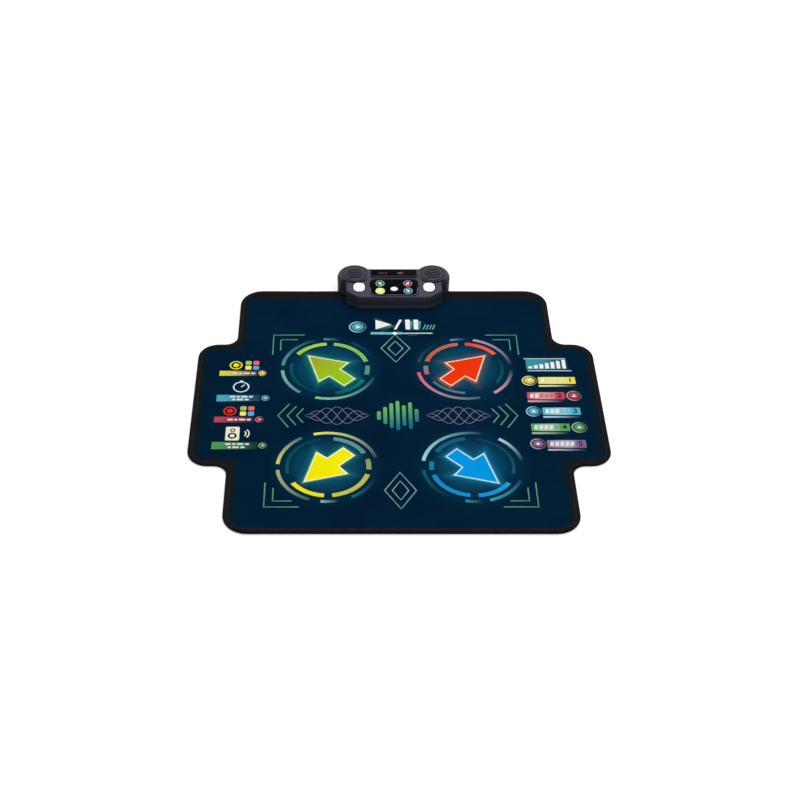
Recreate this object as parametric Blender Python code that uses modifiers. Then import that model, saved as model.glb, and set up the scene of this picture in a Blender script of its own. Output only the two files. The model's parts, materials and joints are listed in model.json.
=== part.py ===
"""Electronic dance mat: a layered foot mat with touch zones, and the console clamped to its back edge.

Metres, +Z up. The player stands on the -Y side and the console is on the +Y side. The origin is on the
floor, at the middle of the whole object's plan.
"""

import math

import bmesh
import bpy
from mathutils import Matrix, Vector

# Mat outline
MAT_WIDTH = 0.930          # across the two wings
WING_REACH = 0.089         # how far each wing stands out from the body
MAT_DEPTH = 0.836
WING_FRONT = 0.205         # from the front edge to the wings' front sides
WING_REAR = 0.212          # from the back edge to the wings' back sides
BODY_CORNER = 0.054
WING_CORNER = 0.047
WING_FILLET = 0.029
CORNER_STEPS = 5

# Mat layers, from the floor up
GAP = 0.0003               # between touching pieces
BASE_SHEET = 0.0014
MEMBRANE = 0.0004
FOAM = 0.0026
COVER = 0.0010
TAPE = 0.0006
TAPE_WIDTH = 0.020
INNER_MARGIN = 0.003       # how far the membranes and the foam stop short of the edge
OVER = 0.001               # how far a cutter reaches past the face that it cuts through

# Touch zones, placed from the mat's centre line or wing edge, and from its front or back edge
ZONE_CLEARANCE = 0.0004
ZONE_RELIEF = 0.0012       # how much wider the foam and the membrane are open than the zone
STEP_RADIUS = 0.082
STEP_X = 0.158
STEP_FRONT_Y = 0.1995
STEP_REAR = 0.302
START_RADIUS = 0.022
START_X = -0.089
START_REAR = 0.146
LEVEL_RADIUS = 0.018
LEVEL_INNER_EDGE = 0.158
LEVEL_OUTER_EDGE = 0.061
LEVEL_FIRST_Y = 0.489
LEVEL_PITCH = 0.0542
LEVEL_COUNT = 5
MODE_RADIUS = 0.010
MODE_OUTER_EDGE = 0.154
MODE_INNER_EDGE = 0.165
MODE_YS = (0.516, 0.427, 0.353, 0.267)

# Console plan, from its front face and the centre line
CONSOLE_LAP = 0.076        # how far the console reaches over the mat
CONSOLE_CHAMFER = 0.023    # depth of the slanted front corners
CONSOLE_DEPTH = 0.105
CONSOLE_CORNER = 0.004
POD_RADIUS = 0.043
POD_INSET = 0.021          # from the console's back wall to the pods' axes
POD_MARGIN = 0.00078       # between the battery door's pins and a pod, on the back wall
FRONT_INSET = 0.008        # how far the front corners stand inside the pods' axes
SIDE_OUTSET = 0.021        # how far the sides stand outside the pods' axes
BACK_INSET = 0.011         # how far the back corners stand inside the pods' axes
SIDE_END = 0.011           # how far in front of the pods' axes the straight sides end
POD_FALL = 3               # how quickly a pod narrows from its side to its front
POD_DRAFT = 0.0012         # how much narrower a pod is at the floor
POD_STEPS = 16             # steps in each half circle of a pod

# Console heights and walls
PARTING_Z = 0.019
DECK_OVER_BOX = 0.0162     # from the top of the battery box to the deck's back edge
DECK_RISE = 0.0075         # how much higher the deck's back edge is than its front edge
POD_RISE = 0.0005          # how much higher a pod's rim is than the deck's back edge
SHOULDER_DROP = 0.0125     # from a pod's rim down to where its upright wall ends
RIM = 0.0010               # width of the flat rim round a grille
CASE_FLOOR_Z = 0.0020
WALL = 0.0022
BACK_WALL = 0.0032
DECK_WALL = 0.0026
EDGE_CHAMFER = 0.0025
RECESS = 0.0015

# Speakers and their grilles
GRILLE_RADIUS = 0.0316
GRILLE_RIM = 0.0016
GRILLE_CROWN = 0.0026
GRILLE_WALL = 0.0016
GRILLE_SEAT = 0.0012
GRILLE_RING = 0.0035       # width of the solid ring that sits in the pod's seat
SLOT_PITCH = 0.009
SLOT_WIDTH = 0.0024
SLOT_LENGTHS = (0.034, 0.046, 0.050, 0.046, 0.034)
SPEAKER_RADIUS = 0.026
SPEAKER_DEPTH = 0.0165
MAGNET_RADIUS = 0.014
SPEAKER_OPENING = 0.0245
CONE_RADIUS = 0.0225
CONE_DEPTH = 0.004
FRAME_THICKNESS = 0.0016
MAGNET_DEPTH = 0.008

# Controls on the deck, measured along its slope from the front edge
PANEL_WIDTH = 0.118
PANEL_FROM = 0.003
PANEL_TO = 0.0665
PANEL_CORNER = 0.013
PANEL_THICKNESS = 0.0012
WINDOW_WIDTH = 0.113
WINDOW_LENGTH = 0.0325
WINDOW_INSET = 0.003
WINDOW_CORNER = 0.0015
DISPLAY_WIDTH = 0.070
DISPLAY_DEPTH = 0.013
DISPLAY_THICKNESS = 0.0030
DISPLAY_LAP = 0.002        # how far the display reaches under the edges of its opening
LAMP_RADIUS = 0.0115
LAMP_X = 0.034
LAMP_VS = (0.0485, 0.021)
LAMP_PROUD = 0.0008
LAMP_FLANGE = 0.0013
BUTTON_WIDTH = 0.030
BUTTON_LENGTH = 0.0335
BUTTON_INSET = 0.0105      # how far the button's centre stands inside the pod's axis
BUTTON_V = 0.034
BUTTON_PROUD = 0.0022
CENTER_RADIUS = 0.0092
CENTER_V = 0.0283
BUTTON_CLEARANCE = 0.0004
BUTTON_FLANGE = 0.0016
FLANGE_THICKNESS = 0.0012
CAP_EDGE = 0.0012          # height of a button's rounded edge
BUTTON_TRAVEL = 0.0013
STEM_RADIUS = 0.0030
SWITCH_SIZE = 0.0062
SWITCH_HEIGHT = 0.0043
PLUNGER = 0.0008
PLUNGER_RADIUS = 0.0018

# Main board
BOARD_MARGIN = 0.0055      # how far the board reaches past the outer buttons' centres
BOARD_FROM = 0.022
BOARD_TO = 0.064
BOARD_Z = 0.0255
BOARD_THICKNESS = 0.0016
BOARD_POST_RADIUS = 0.003
BOARD_POST_INSET = 0.005
BOARD_POST_SIDE = 0.017
CHIP = (-0.052, 0.046, 0.018, 0.014, 0.0018)       # X, place behind the console's front, width, depth, height
PLUG = (0.020, 0.050, 0.020, 0.008, 0.0025)        # the same for the cells' connector
CAPACITOR = (0.052, 0.054, 0.004, 0.0055)          # X, place behind the front, radius, height

# Batteries, their box and its door
CELL_RADIUS = 0.00725
CELL_LENGTH = 0.0505
CELL_NUB_RADIUS = 0.0027
CELL_NUB = 0.0013
CELL_SPACING = 0.0006
BOX_WALL = 0.0012
BOX_FLOOR_Z = 0.0047
BOX_CLEARANCE = 0.0010     # between the cells and the shut door
CONTACT_THICKNESS = 0.0004
CONTACT_REACH = 0.0038
CONTACT_HALF = 0.005
BUMP_RADIUS = 0.0025
CELL_EDGE = 0.0006
DOOR_THICKNESS = 0.0026
DOOR_CLEARANCE = 0.0004
DOOR_PIN_RADIUS = 0.0008
DOOR_PIN_LENGTH = 0.0024
DOOR_SETBACK = 0.0003
DOOR_TRIM = 0.0002
GRIP_HALF = 0.010
GRIP_DEPTH = 0.0010
GRIP_HEIGHT = 0.004
GRIP_FROM_TOP = 0.002

# Switch and jack in the backs of the pods
SWITCH_Z = 0.026
SWITCH_BODY = (0.0125, 0.0055, 0.0065)
SLIDER_WIDTH = 0.0042
SLIDER_HEIGHT = 0.0034
SLIDER_PROUD = 0.0016
SLIDER_TRAVEL = 0.004
SLIDER_CLEARANCE = 0.0004
JACK_Z = 0.026
JACK_BODY = (0.009, 0.0078, 0.009)
JACK_BARREL = 0.0032
JACK_BORE = 0.00175
JACK_BORE_DEPTH = 0.0085
JACK_PROUD = 0.0003

# Fasteners, clamp plate, feet and ribbon
SCREW_RADIUS = 0.0014
SCREW_CLEARANCE = 0.0003
SCREW_TIP = 0.0012
BOSS_RADIUS = 0.0038
HEAD_RADIUS = 0.0028
HEAD_HEIGHT = 0.0014
CLAMP_SCREW_X = 0.063
CLAMP_SCREW_Y = 0.015
CASE_SCREW_MARGIN = 0.0028 # between the battery box and a rear screw's cup
CASE_SCREW_INSET = 0.013
SCREW_BITE = 0.012
CUP_RADIUS = 0.0052
CUP_FLOOR = 0.0010         # from the top of a sunk screw head's bore down to the head
CUP_LIP = 0.0012
PLATE_HALF = 0.080
PLATE_FROM = 0.005
PLATE_TO = 0.047
FOOT_RADIUS = 0.009
FOOT_INSET = 0.003
FOOT_EDGE = 0.0006
RIBBON_WIDTH = 0.012
RIBBON_THICKNESS = 0.0003
RIBBON_FOOT = 0.008
RIBBON_Y = 0.044
RIBBON_CLEARANCE = 0.0008

# Worked-out places
BODY_WIDTH = MAT_WIDTH - 2 * WING_REACH
WING_LENGTH = MAT_DEPTH - WING_FRONT - WING_REAR
STEP_BACK_Y = MAT_DEPTH - STEP_REAR
START_Y = MAT_DEPTH - START_REAR
LEVEL_INNER_X = MAT_WIDTH / 2 - LEVEL_INNER_EDGE
LEVEL_OUTER_X = MAT_WIDTH / 2 - LEVEL_OUTER_EDGE
MODE_OUTER_X = MODE_OUTER_EDGE - MAT_WIDTH / 2
MODE_INNER_X = MODE_INNER_EDGE - MAT_WIDTH / 2
CELL_ROW = 2 * CELL_RADIUS + CELL_SPACING
BOX_HEIGHT = 2 * CELL_RADIUS + CELL_ROW + 2 * (BOX_WALL + GAP)
BOX_HALF = CELL_LENGTH + CELL_SPACING / 2 + CONTACT_REACH + CONTACT_THICKNESS + GAP + BOX_WALL
DOOR_HALF = BOX_HALF - BOX_WALL
DOOR_BOTTOM_Z = BOX_FLOOR_Z + BOX_WALL + DOOR_CLEARANCE
DOOR_HEIGHT = BOX_HEIGHT - 2 * BOX_WALL - DOOR_TRIM
POD_Y = CONSOLE_DEPTH - POD_INSET
POD_X = DOOR_HALF + DOOR_PIN_LENGTH + POD_MARGIN + math.sqrt(POD_RADIUS ** 2 - POD_INSET ** 2)
CONSOLE_FRONT_HALF = POD_X - FRONT_INSET
CONSOLE_SIDE_HALF = POD_X + SIDE_OUTSET
CONSOLE_BACK_HALF = POD_X - BACK_INSET
BUTTON_X = POD_X - BUTTON_INSET
BOARD_HALF = BUTTON_X + BOARD_MARGIN
BOARD_POST_X = BOARD_HALF - BOARD_POST_SIDE
DECK_BACK_Z = BOX_FLOOR_Z + BOX_HEIGHT + DECK_OVER_BOX
DECK_FRONT_Z = DECK_BACK_Z - DECK_RISE
POD_TOP_Z = DECK_BACK_Z + POD_RISE
SHOULDER_Z = POD_TOP_Z - SHOULDER_DROP
WINDOW_TO = CONSOLE_DEPTH - WINDOW_INSET
WINDOW_FROM = WINDOW_TO - WINDOW_LENGTH
CASE_SCREW_X = BOX_HALF + CASE_SCREW_MARGIN + CUP_RADIUS
CASE_SCREW_Y = CONSOLE_DEPTH - CASE_SCREW_INSET
FOOT_Y = CONSOLE_DEPTH - FOOT_INSET
TOTAL_DEPTH = MAT_DEPTH - CONSOLE_LAP + POD_Y + POD_RADIUS + SLIDER_PROUD
FRONT_Y = -TOTAL_DEPTH / 2
BACK_Y = FRONT_Y + MAT_DEPTH
CONSOLE_Y = BACK_Y - CONSOLE_LAP
POD_AXIS_Y = CONSOLE_Y + POD_Y
POD_BACK_Y = POD_AXIS_Y + POD_RADIUS
LOWER_Z = BASE_SHEET + GAP
FOAM_Z = LOWER_Z + MEMBRANE + GAP
UPPER_Z = FOAM_Z + FOAM + GAP
COVER_Z = UPPER_Z + MEMBRANE + GAP
COVER_TOP = COVER_Z + COVER
MAT_TOP = COVER_TOP + GAP + TAPE
LEDGE_Z = MAT_TOP + GAP
SLOPE = DECK_RISE / CONSOLE_DEPTH
DECK_ANGLE = math.atan(SLOPE)
HINGE_Y = CONSOLE_Y + CONSOLE_DEPTH - DOOR_SETBACK - DOOR_THICKNESS / 2
HINGE_Z = DOOR_BOTTOM_Z + DOOR_THICKNESS / 2
BOX_BACK_Y = CONSOLE_Y + CONSOLE_DEPTH - DOOR_SETBACK - DOOR_THICKNESS - GAP
BOX_DEPTH = 2 * CELL_RADIUS + 2 * GAP + BOX_WALL + BOX_CLEARANCE
CELL_Y = BOX_BACK_Y - BOX_DEPTH + BOX_WALL + GAP + CELL_RADIUS
REAR_FLOOR = CASE_FLOOR_Z + WALL
LEDGE_FLOOR = LEDGE_Z + WALL
CUP_TOP = REAR_FLOOR + HEAD_HEIGHT + CUP_LIP

PARTS = "dance_mat"
CUTTERS = "cutters"


def clear_scene():
    """Remove every object and empty the two collections."""
    for old in list(bpy.data.objects):
        bpy.data.objects.remove(old, do_unlink=True)
    for title in (PARTS, CUTTERS):
        if title in bpy.data.collections:
            bpy.data.collections.remove(bpy.data.collections[title])
        group = bpy.data.collections.new(title)
        bpy.context.scene.collection.children.link(group)


def material(name, color, roughness, metallic=0.0):
    """Make a Principled material."""
    made = bpy.data.materials.new(name)
    made.use_nodes = True
    shader = made.node_tree.nodes["Principled BSDF"]
    shader.inputs["Base Color"].default_value = (*color, 1.0)
    shader.inputs["Roughness"].default_value = roughness
    shader.inputs["Metallic"].default_value = metallic
    return made


def add_object(name, mesh, finish=None, group=PARTS, location=(0, 0, 0), parent=None):
    """Put a mesh in the scene as a part, or as a hidden cutter."""
    made = bpy.data.objects.new(name, mesh)
    made.location = location
    made.parent = parent
    bpy.data.collections[group].objects.link(made)
    if finish is not None:
        mesh.materials.clear()
        mesh.materials.append(finish)
    if group == CUTTERS:
        made.hide_render = True
        made.display_type = "WIRE"
    return made


def mesh_from(bm, name):
    """Turn a bmesh into a mesh with outward faces, shaded smooth but for its sharp edges."""
    bmesh.ops.recalc_face_normals(bm, faces=bm.faces)
    mesh = bpy.data.meshes.new(name)
    bm.to_mesh(mesh)
    bm.free()
    mesh.shade_smooth()
    mesh.set_sharp_from_angle(angle=math.radians(35))
    return mesh


def add_box(bm, low, high):
    """Add a box between two corners."""
    size = Vector(high) - Vector(low)
    middle = (Vector(high) + Vector(low)) / 2
    place = Matrix.Translation(middle) @ Matrix.Diagonal((*size, 1.0))
    bmesh.ops.create_cube(bm, size=1.0, matrix=place)


def add_cylinder(bm, center, radius, z_low, z_high, steps=24, top_radius=None):
    """Add an upright cylinder, or a cone when the top radius differs."""
    middle = Matrix.Translation((center[0], center[1], (z_low + z_high) / 2))
    top = radius if top_radius is None else top_radius
    bmesh.ops.create_cone(bm, cap_ends=True, segments=steps, radius1=radius, radius2=top,
                          depth=z_high - z_low, matrix=middle)


def add_rod(bm, start, end, radius, steps=16):
    """Add a cylinder between two points."""
    start, end = Vector(start), Vector(end)
    turn = Vector((0, 0, 1)).rotation_difference(end - start).to_matrix().to_4x4()
    place = Matrix.Translation((start + end) / 2) @ turn
    bmesh.ops.create_cone(bm, cap_ends=True, segments=steps, radius1=radius, radius2=radius,
                          depth=(end - start).length, matrix=place)


def solid(name, shapes, finish, location=(0, 0, 0), parent=None):
    """Make a part from shapes that are drawn on one bmesh."""
    bm = bmesh.new()
    for shape in shapes:
        shape(bm)
    return add_object(name, mesh_from(bm, name), finish, location=location, parent=parent)


def cutter(name, shapes, parent=None):
    """Make a hidden cutter of shapes that don't touch each other."""
    bm = bmesh.new()
    for shape in shapes:
        shape(bm)
    return add_object(name, mesh_from(bm, name), group=CUTTERS, parent=parent)


def boolean(target, other, operation="DIFFERENCE"):
    """Cut the target by a cutter, or join the cutter to it."""
    step = target.modifiers.new(f"{operation.lower()}_{other.name}", "BOOLEAN")
    step.operation = operation
    step.solver = "EXACT"
    step.object = other


def circle(x, y, radius, steps):
    """Points round a circle."""
    turn = 2 * math.pi / steps
    return [(x + radius * math.cos(i * turn), y + radius * math.sin(i * turn)) for i in range(steps)]


def rounded(corners, steps=CORNER_STEPS):
    """Points round a polygon whose corners (x, y, radius) are rounded, each by the same number of steps."""
    points = []
    for i, (x, y, radius) in enumerate(corners):
        here = Vector((x, y))
        before = (Vector(corners[i - 1][:2]) - here).normalized()
        after = (Vector(corners[(i + 1) % len(corners)][:2]) - here).normalized()
        half = before.angle(after) / 2
        middle = here + (before + after).normalized() * (radius / math.sin(half))
        start = here + before * (radius / math.tan(half))
        end = here + after * (radius / math.tan(half))
        first = math.atan2(start.y - middle.y, start.x - middle.x)
        sweep = math.atan2(end.y - middle.y, end.x - middle.x) - first
        sweep = (sweep + math.pi) % (2 * math.pi) - math.pi
        for k in range(steps + 1):
            angle = first + sweep * k / steps
            points.append((middle.x + radius * math.cos(angle), middle.y + radius * math.sin(angle)))
    return points


def rectangle(x_half, y_low, y_high, radius, steps=CORNER_STEPS):
    """Points round a rounded rectangle that is centred on X."""
    corners = ((-x_half, y_low), (x_half, y_low), (x_half, y_high), (-x_half, y_high))
    return rounded([(x, y, radius) for x, y in corners], steps)


def squircle(x, y, x_half, y_half, steps=24, power=2.5):
    """Points round a superellipse."""
    points = []
    for i in range(steps):
        angle = 2 * math.pi * (i + 0.5) / steps
        c, s = math.cos(angle), math.sin(angle)
        reach = (abs(c) ** power + abs(s) ** power) ** (-1 / power)
        points.append((x + x_half * reach * c, y + y_half * reach * s))
    return points


def rings(bm, loops, closed=False):
    """Loft matching loops of points. A closed loft joins its last loop to its first, another is capped."""
    made = [[bm.verts.new(point) for point in loop] for loop in loops]
    pairs = list(zip(made, made[1:]))
    if closed:
        pairs.append((made[-1], made[0]))
    for lower, upper in pairs:
        for i in range(len(lower)):
            j = (i + 1) % len(lower)
            bm.faces.new((lower[i], lower[j], upper[j], upper[i]))
    if not closed:
        bm.faces.new(made[0])
        bm.faces.new(made[-1])


def prism(outline, z_low, z_high):
    """Loops for a straight prism over an outline."""
    return [[(x, y, z) for x, y in outline] for z in (z_low, z_high)]


def sheet(name, outlines, z_low, thickness, finish):
    """A flat sheet from a filled 2D curve: the first outline bounds it and the others are its openings."""
    curve = bpy.data.curves.new(name, "CURVE")
    curve.dimensions = "2D"
    curve.fill_mode = "BOTH"
    curve.extrude = thickness / 2
    for outline in outlines:
        spline = curve.splines.new("POLY")
        spline.points.add(len(outline) - 1)
        for point, (x, y) in zip(spline.points, outline):
            point.co = (x, y, 0, 1)
        spline.use_cyclic_u = True
    guide = bpy.data.objects.new(f"{name}_curve", curve)
    guide.location = (0, 0, z_low + thickness / 2)
    bpy.data.collections[PARTS].objects.link(guide)
    bpy.context.view_layer.update()
    seen = guide.evaluated_get(bpy.context.evaluated_depsgraph_get())
    bm = bmesh.new()
    bm.from_mesh(bpy.data.meshes.new_from_object(seen))
    bmesh.ops.remove_doubles(bm, verts=bm.verts, dist=1e-6)
    made = add_object(name, mesh_from(bm, name), finish)
    made.matrix_world = guide.matrix_world
    bpy.data.objects.remove(guide, do_unlink=True)
    return made


def turned(name, profile, finish, steps, location=(0, 0, 0), group=PARTS):
    """A turned piece: the profile (radius, z) runs from the top on the axis, down its outer side."""
    mesh = bpy.data.meshes.new(name)
    mesh.from_pydata([(r, 0, z) for r, z in profile], [(i, i + 1) for i in range(len(profile) - 1)], [])
    made = add_object(name, mesh, finish, group, location)
    spin = made.modifiers.new("turn", "SCREW")
    spin.axis = "Z"
    spin.steps = steps
    spin.render_steps = steps
    spin.use_merge_vertices = True
    spin.merge_threshold = 0.00001
    spin.use_smooth_shade = True
    return made


def mat_outline(inset, steps=CORNER_STEPS):
    """The mat's outline, moved inwards by an inset."""
    body = BODY_WIDTH / 2 - inset
    wing = MAT_WIDTH / 2 - inset
    front = FRONT_Y + inset
    back = BACK_Y - inset
    wing_front = FRONT_Y + WING_FRONT + inset
    wing_back = FRONT_Y + WING_FRONT + WING_LENGTH - inset
    right = [
        (body, front, BODY_CORNER - inset),
        (body, wing_front, WING_FILLET + inset),
        (wing, wing_front, WING_CORNER - inset),
        (wing, wing_back, WING_CORNER - inset),
        (body, wing_back, WING_FILLET + inset),
        (body, back, BODY_CORNER - inset),
    ]
    left = [(-x, y, radius) for x, y, radius in reversed(right)]
    return rounded(right + left, steps)


def console_outline(inset, back_inset=None):
    """The console body's outline without its pods, moved inwards by an inset."""
    back = CONSOLE_Y + CONSOLE_DEPTH - (inset if back_inset is None else back_inset)
    front = CONSOLE_Y + inset
    slant = math.atan2(CONSOLE_CHAMFER, CONSOLE_SIDE_HALF - CONSOLE_FRONT_HALF)
    front_half = CONSOLE_FRONT_HALF - inset * math.tan(slant / 2)
    side_half = CONSOLE_SIDE_HALF - inset
    side_y = CONSOLE_Y + CONSOLE_CHAMFER + inset * math.tan((math.pi / 2 - slant) / 2)
    corner = max(CONSOLE_CORNER - inset, 0.0005)
    right = [
        (front_half, front, corner),
        (side_half, side_y, corner),
        (side_half, POD_AXIS_Y - SIDE_END, 0.0005),
        (CONSOLE_BACK_HALF, back, 0.0005),
    ]
    left = [(-x, y, radius) for x, y, radius in reversed(right)]
    return rounded(right + left, 3)


def deck_height(y):
    """Height of the console's sloping top face at a place."""
    return DECK_FRONT_Z + SLOPE * (y - CONSOLE_Y)


def console_body(bm, inset, z_low, drop, chamfer=0.0, back_inset=None):
    """The console's body as a solid under the sloping deck, with its top lowered by a drop."""
    wide = console_outline(inset, back_inset)
    loops = [[(x, y, z_low) for x, y in wide]]
    if chamfer:
        loops.append([(x, y, deck_height(y) - drop - chamfer) for x, y in wide])
        wide = console_outline(inset + chamfer, back_inset)
    loops.append([(x, y, deck_height(y) - drop) for x, y in wide])
    rings(bm, loops)


def pod_outline(x, radius, front):
    """A pod's outline: a half circle behind the speaker's axis, narrowing to another radius in front of it."""
    outline = []
    for i in range(2 * POD_STEPS):
        turn = math.pi * i / POD_STEPS
        wide = abs(math.cos(turn)) ** POD_FALL if i > POD_STEPS else 1.0
        reach = front + (radius - front) * wide
        outline.append((x + reach * math.cos(turn), POD_AXIS_Y + reach * math.sin(turn)))
    return outline


def pod_loops(x, inset, z_low, z_high=None):
    """Loops of one pod. Without an upper height it ends in the shoulder and the rim round the grille."""
    wall = POD_RADIUS - inset
    rim = GRILLE_RADIUS + GAP + RIM - inset
    low = wall - POD_DRAFT * (SHOULDER_Z - z_low) / SHOULDER_Z
    if z_high is not None:
        high = wall - POD_DRAFT * (SHOULDER_Z - z_high) / SHOULDER_Z
        levels = [(low, z_low), (high, z_high)]
    else:
        drop = DECK_WALL if inset else 0.0
        top = POD_TOP_Z - drop
        shoulder = SHOULDER_Z - drop / 2
        levels = [(low, z_low), (wall, shoulder)]
        for k in (1, 2, 3):
            turn = math.radians(30 * k)
            share = 1 - math.cos(turn)
            height = shoulder + (top - shoulder) * math.sin(turn)
            levels.append((wall + (rim - wall) * share, height))
    return [[(px, py, z) for px, py in pod_outline(x, radius, rim)] for radius, z in levels]


def pod_pair(bm, inset, z_low, z_high=None):
    """Both pods as one cutter or union."""
    for side in (-1, 1):
        rings(bm, pod_loops(side * POD_X, inset, z_low, z_high))


def rear_lobe(bm, side, inset, front_y, z_low, z_high):
    """The part of a pod's inside that lies behind the mat."""
    radius = POD_RADIUS - inset
    start = math.asin((front_y - POD_AXIS_Y) / radius)
    sweep = math.pi - 2 * start
    angles = [start + sweep * i / POD_STEPS for i in range(POD_STEPS + 1)]
    outline = [(side * POD_X + radius * math.cos(a), POD_AXIS_Y + radius * math.sin(a)) for a in angles]
    rings(bm, prism(outline, z_low, z_high))


def level_places():
    """The level pads, whose places alternate between two columns."""
    columns = (LEVEL_INNER_X, LEVEL_OUTER_X)
    return [(columns[i % 2], LEVEL_FIRST_Y - i * LEVEL_PITCH) for i in range(LEVEL_COUNT)]


def zone_list():
    """Name, X, distance from the front edge, radius and finish of each touch zone."""
    zones = [
        ("zone_green_arrow", -STEP_X, STEP_BACK_Y, STEP_RADIUS, "print_green"),
        ("zone_red_arrow", STEP_X, STEP_BACK_Y, STEP_RADIUS, "print_red"),
        ("zone_yellow_arrow", -STEP_X, STEP_FRONT_Y, STEP_RADIUS, "print_yellow"),
        ("zone_blue_arrow", STEP_X, STEP_FRONT_Y, STEP_RADIUS, "print_blue"),
        ("zone_start", START_X, START_Y, START_RADIUS, "print_blue"),
    ]
    level_tints = ("print_yellow", "print_red", "print_blue", "print_green", "print_purple")
    for i, (x, y) in enumerate(level_places()):
        zones.append((f"zone_level_{i + 1}", x, y, LEVEL_RADIUS, level_tints[i]))
    mode_tints = ("print_yellow", "print_blue", "print_red", "print_green")
    for i, y in enumerate(MODE_YS):
        x = (MODE_OUTER_X, MODE_INNER_X)[i % 2]
        zones.append((f"zone_mode_{i + 1}", x, y, MODE_RADIUS, mode_tints[i]))
    return zones


def zone_steps(radius):
    """How many sides a zone's circle has."""
    return 32 if radius > 0.05 else 16


def zone_openings(extra):
    """A circle round each zone, wider than it by a clearance."""
    return [circle(x, FRONT_Y + y, radius + extra, zone_steps(radius)) for _, x, y, radius, _ in zone_list()]


def clamp_screw_places():
    """Centres of the two clamp screws."""
    return [(side * CLAMP_SCREW_X, CONSOLE_Y + CLAMP_SCREW_Y) for side in (-1, 1)]


def case_screw_places():
    """Centres of the two rear case screws."""
    return [(side * CASE_SCREW_X, CONSOLE_Y + CASE_SCREW_Y) for side in (-1, 1)]


def clamp_holes(extra):
    """Openings in a mat layer for the clamp screws."""
    return [circle(x, y, SCREW_RADIUS + extra, 12) for x, y in clamp_screw_places()]


def ribbon_slot():
    """Opening in the cover through which the ribbon rises."""
    half = RIBBON_WIDTH / 2 + RIBBON_CLEARANCE
    low = CONSOLE_Y + RIBBON_Y - RIBBON_FOOT - RIBBON_CLEARANCE
    high = CONSOLE_Y + RIBBON_Y + RIBBON_CLEARANCE
    return [(-half, low), (half, low), (half, high), (-half, high)]


def build_mat(finish):
    """The mat's layers and its edge binding."""
    inner = TAPE + GAP
    margin = inner + INNER_MARGIN
    loops = [
        [(x, y, 0.0) for x, y in mat_outline(TAPE_WIDTH + GAP)],
        [(x, y, inner) for x, y in mat_outline(TAPE_WIDTH + GAP)],
        [(x, y, inner) for x, y in mat_outline(inner)],
        [(x, y, BASE_SHEET) for x, y in mat_outline(inner)],
    ]
    base = solid("base_sheet", [lambda bm: rings(bm, loops)], finish["non_slip"])
    low = (-PLATE_HALF - GAP, CONSOLE_Y + PLATE_FROM - GAP, -OVER)
    high = (PLATE_HALF + GAP, CONSOLE_Y + PLATE_TO + GAP, BASE_SHEET + OVER)
    boolean(base, cutter("base_sheet_window", [lambda bm: add_box(bm, low, high)]))

    holes = clamp_holes(2 * SCREW_CLEARANCE)
    sheet("lower_membrane", [mat_outline(margin), *holes], LOWER_Z, MEMBRANE, finish["film"])
    relief = zone_openings(ZONE_RELIEF)
    sheet("foam_spacer", [mat_outline(margin), *relief, *holes], FOAM_Z, FOAM, finish["foam"])
    sheet("upper_membrane", [mat_outline(margin), *relief, *holes], UPPER_Z, MEMBRANE, finish["film"])
    openings = [*zone_openings(ZONE_CLEARANCE), *holes, ribbon_slot()]
    sheet("top_cover", [mat_outline(inner), *openings], COVER_Z, COVER, finish["cover"])

    profile = [
        (0.0, 0.0), (0.0, MAT_TOP), (TAPE_WIDTH, MAT_TOP), (TAPE_WIDTH, MAT_TOP - TAPE),
        (TAPE, MAT_TOP - TAPE), (TAPE, TAPE), (TAPE_WIDTH, TAPE), (TAPE_WIDTH, 0.0),
    ]
    tape = [[(x, y, z) for x, y in mat_outline(inset)] for inset, z in profile]
    solid("edge_binding", [lambda bm: rings(bm, tape, closed=True)], finish["binding"])


def build_zones(finish):
    """The touch zones: each is a disc of cover with the contact layer under it."""
    thickness = COVER_TOP - UPPER_Z
    for name, x, y, radius, tint in zone_list():
        place = (x, FRONT_Y + y, UPPER_Z + thickness / 2)
        shape = lambda bm, r=radius: add_cylinder(bm, (0, 0), r, -thickness / 2, thickness / 2, zone_steps(r))
        solid(name, [shape], finish[tint], location=place)


def build_clamp(finish):
    """The plate under the mat's back edge and the two screws that clamp the console to it."""
    low = (-PLATE_HALF, CONSOLE_Y + PLATE_FROM, 0.0)
    high = (PLATE_HALF, CONSOLE_Y + PLATE_TO, BASE_SHEET)
    plate = solid("clamp_plate", [lambda bm: add_box(bm, low, high)], finish["steel"])
    wide = HEAD_RADIUS + SCREW_CLEARANCE
    narrow = SCREW_RADIUS + SCREW_CLEARANCE
    spread = (wide - narrow) / HEAD_HEIGHT * GAP
    sinks = [lambda bm, p=p: add_cylinder(bm, p, wide + spread, -GAP, HEAD_HEIGHT + GAP, 16, narrow - spread)
             for p in clamp_screw_places()]
    boolean(plate, cutter("clamp_plate_sinks", sinks))
    tip = LEDGE_FLOOR + GAP + SCREW_BITE
    profile = [(0.0, tip), (SCREW_RADIUS, tip - SCREW_TIP), (SCREW_RADIUS, HEAD_HEIGHT),
               (HEAD_RADIUS, GAP / 3), (0.0, GAP / 3)]
    for side, (x, y) in zip(("left", "right"), clamp_screw_places()):
        turned(f"clamp_screw_{side}", profile, finish["steel"], 12, location=(x, y, 0))


def board_posts():
    """Centres of the posts that carry the main board."""
    ys = (BOARD_FROM + BOARD_POST_INSET, BOARD_TO - BOARD_POST_INSET)
    return [(side * BOARD_POST_X, CONSOLE_Y + y) for side in (-1, 1) for y in ys]


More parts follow.
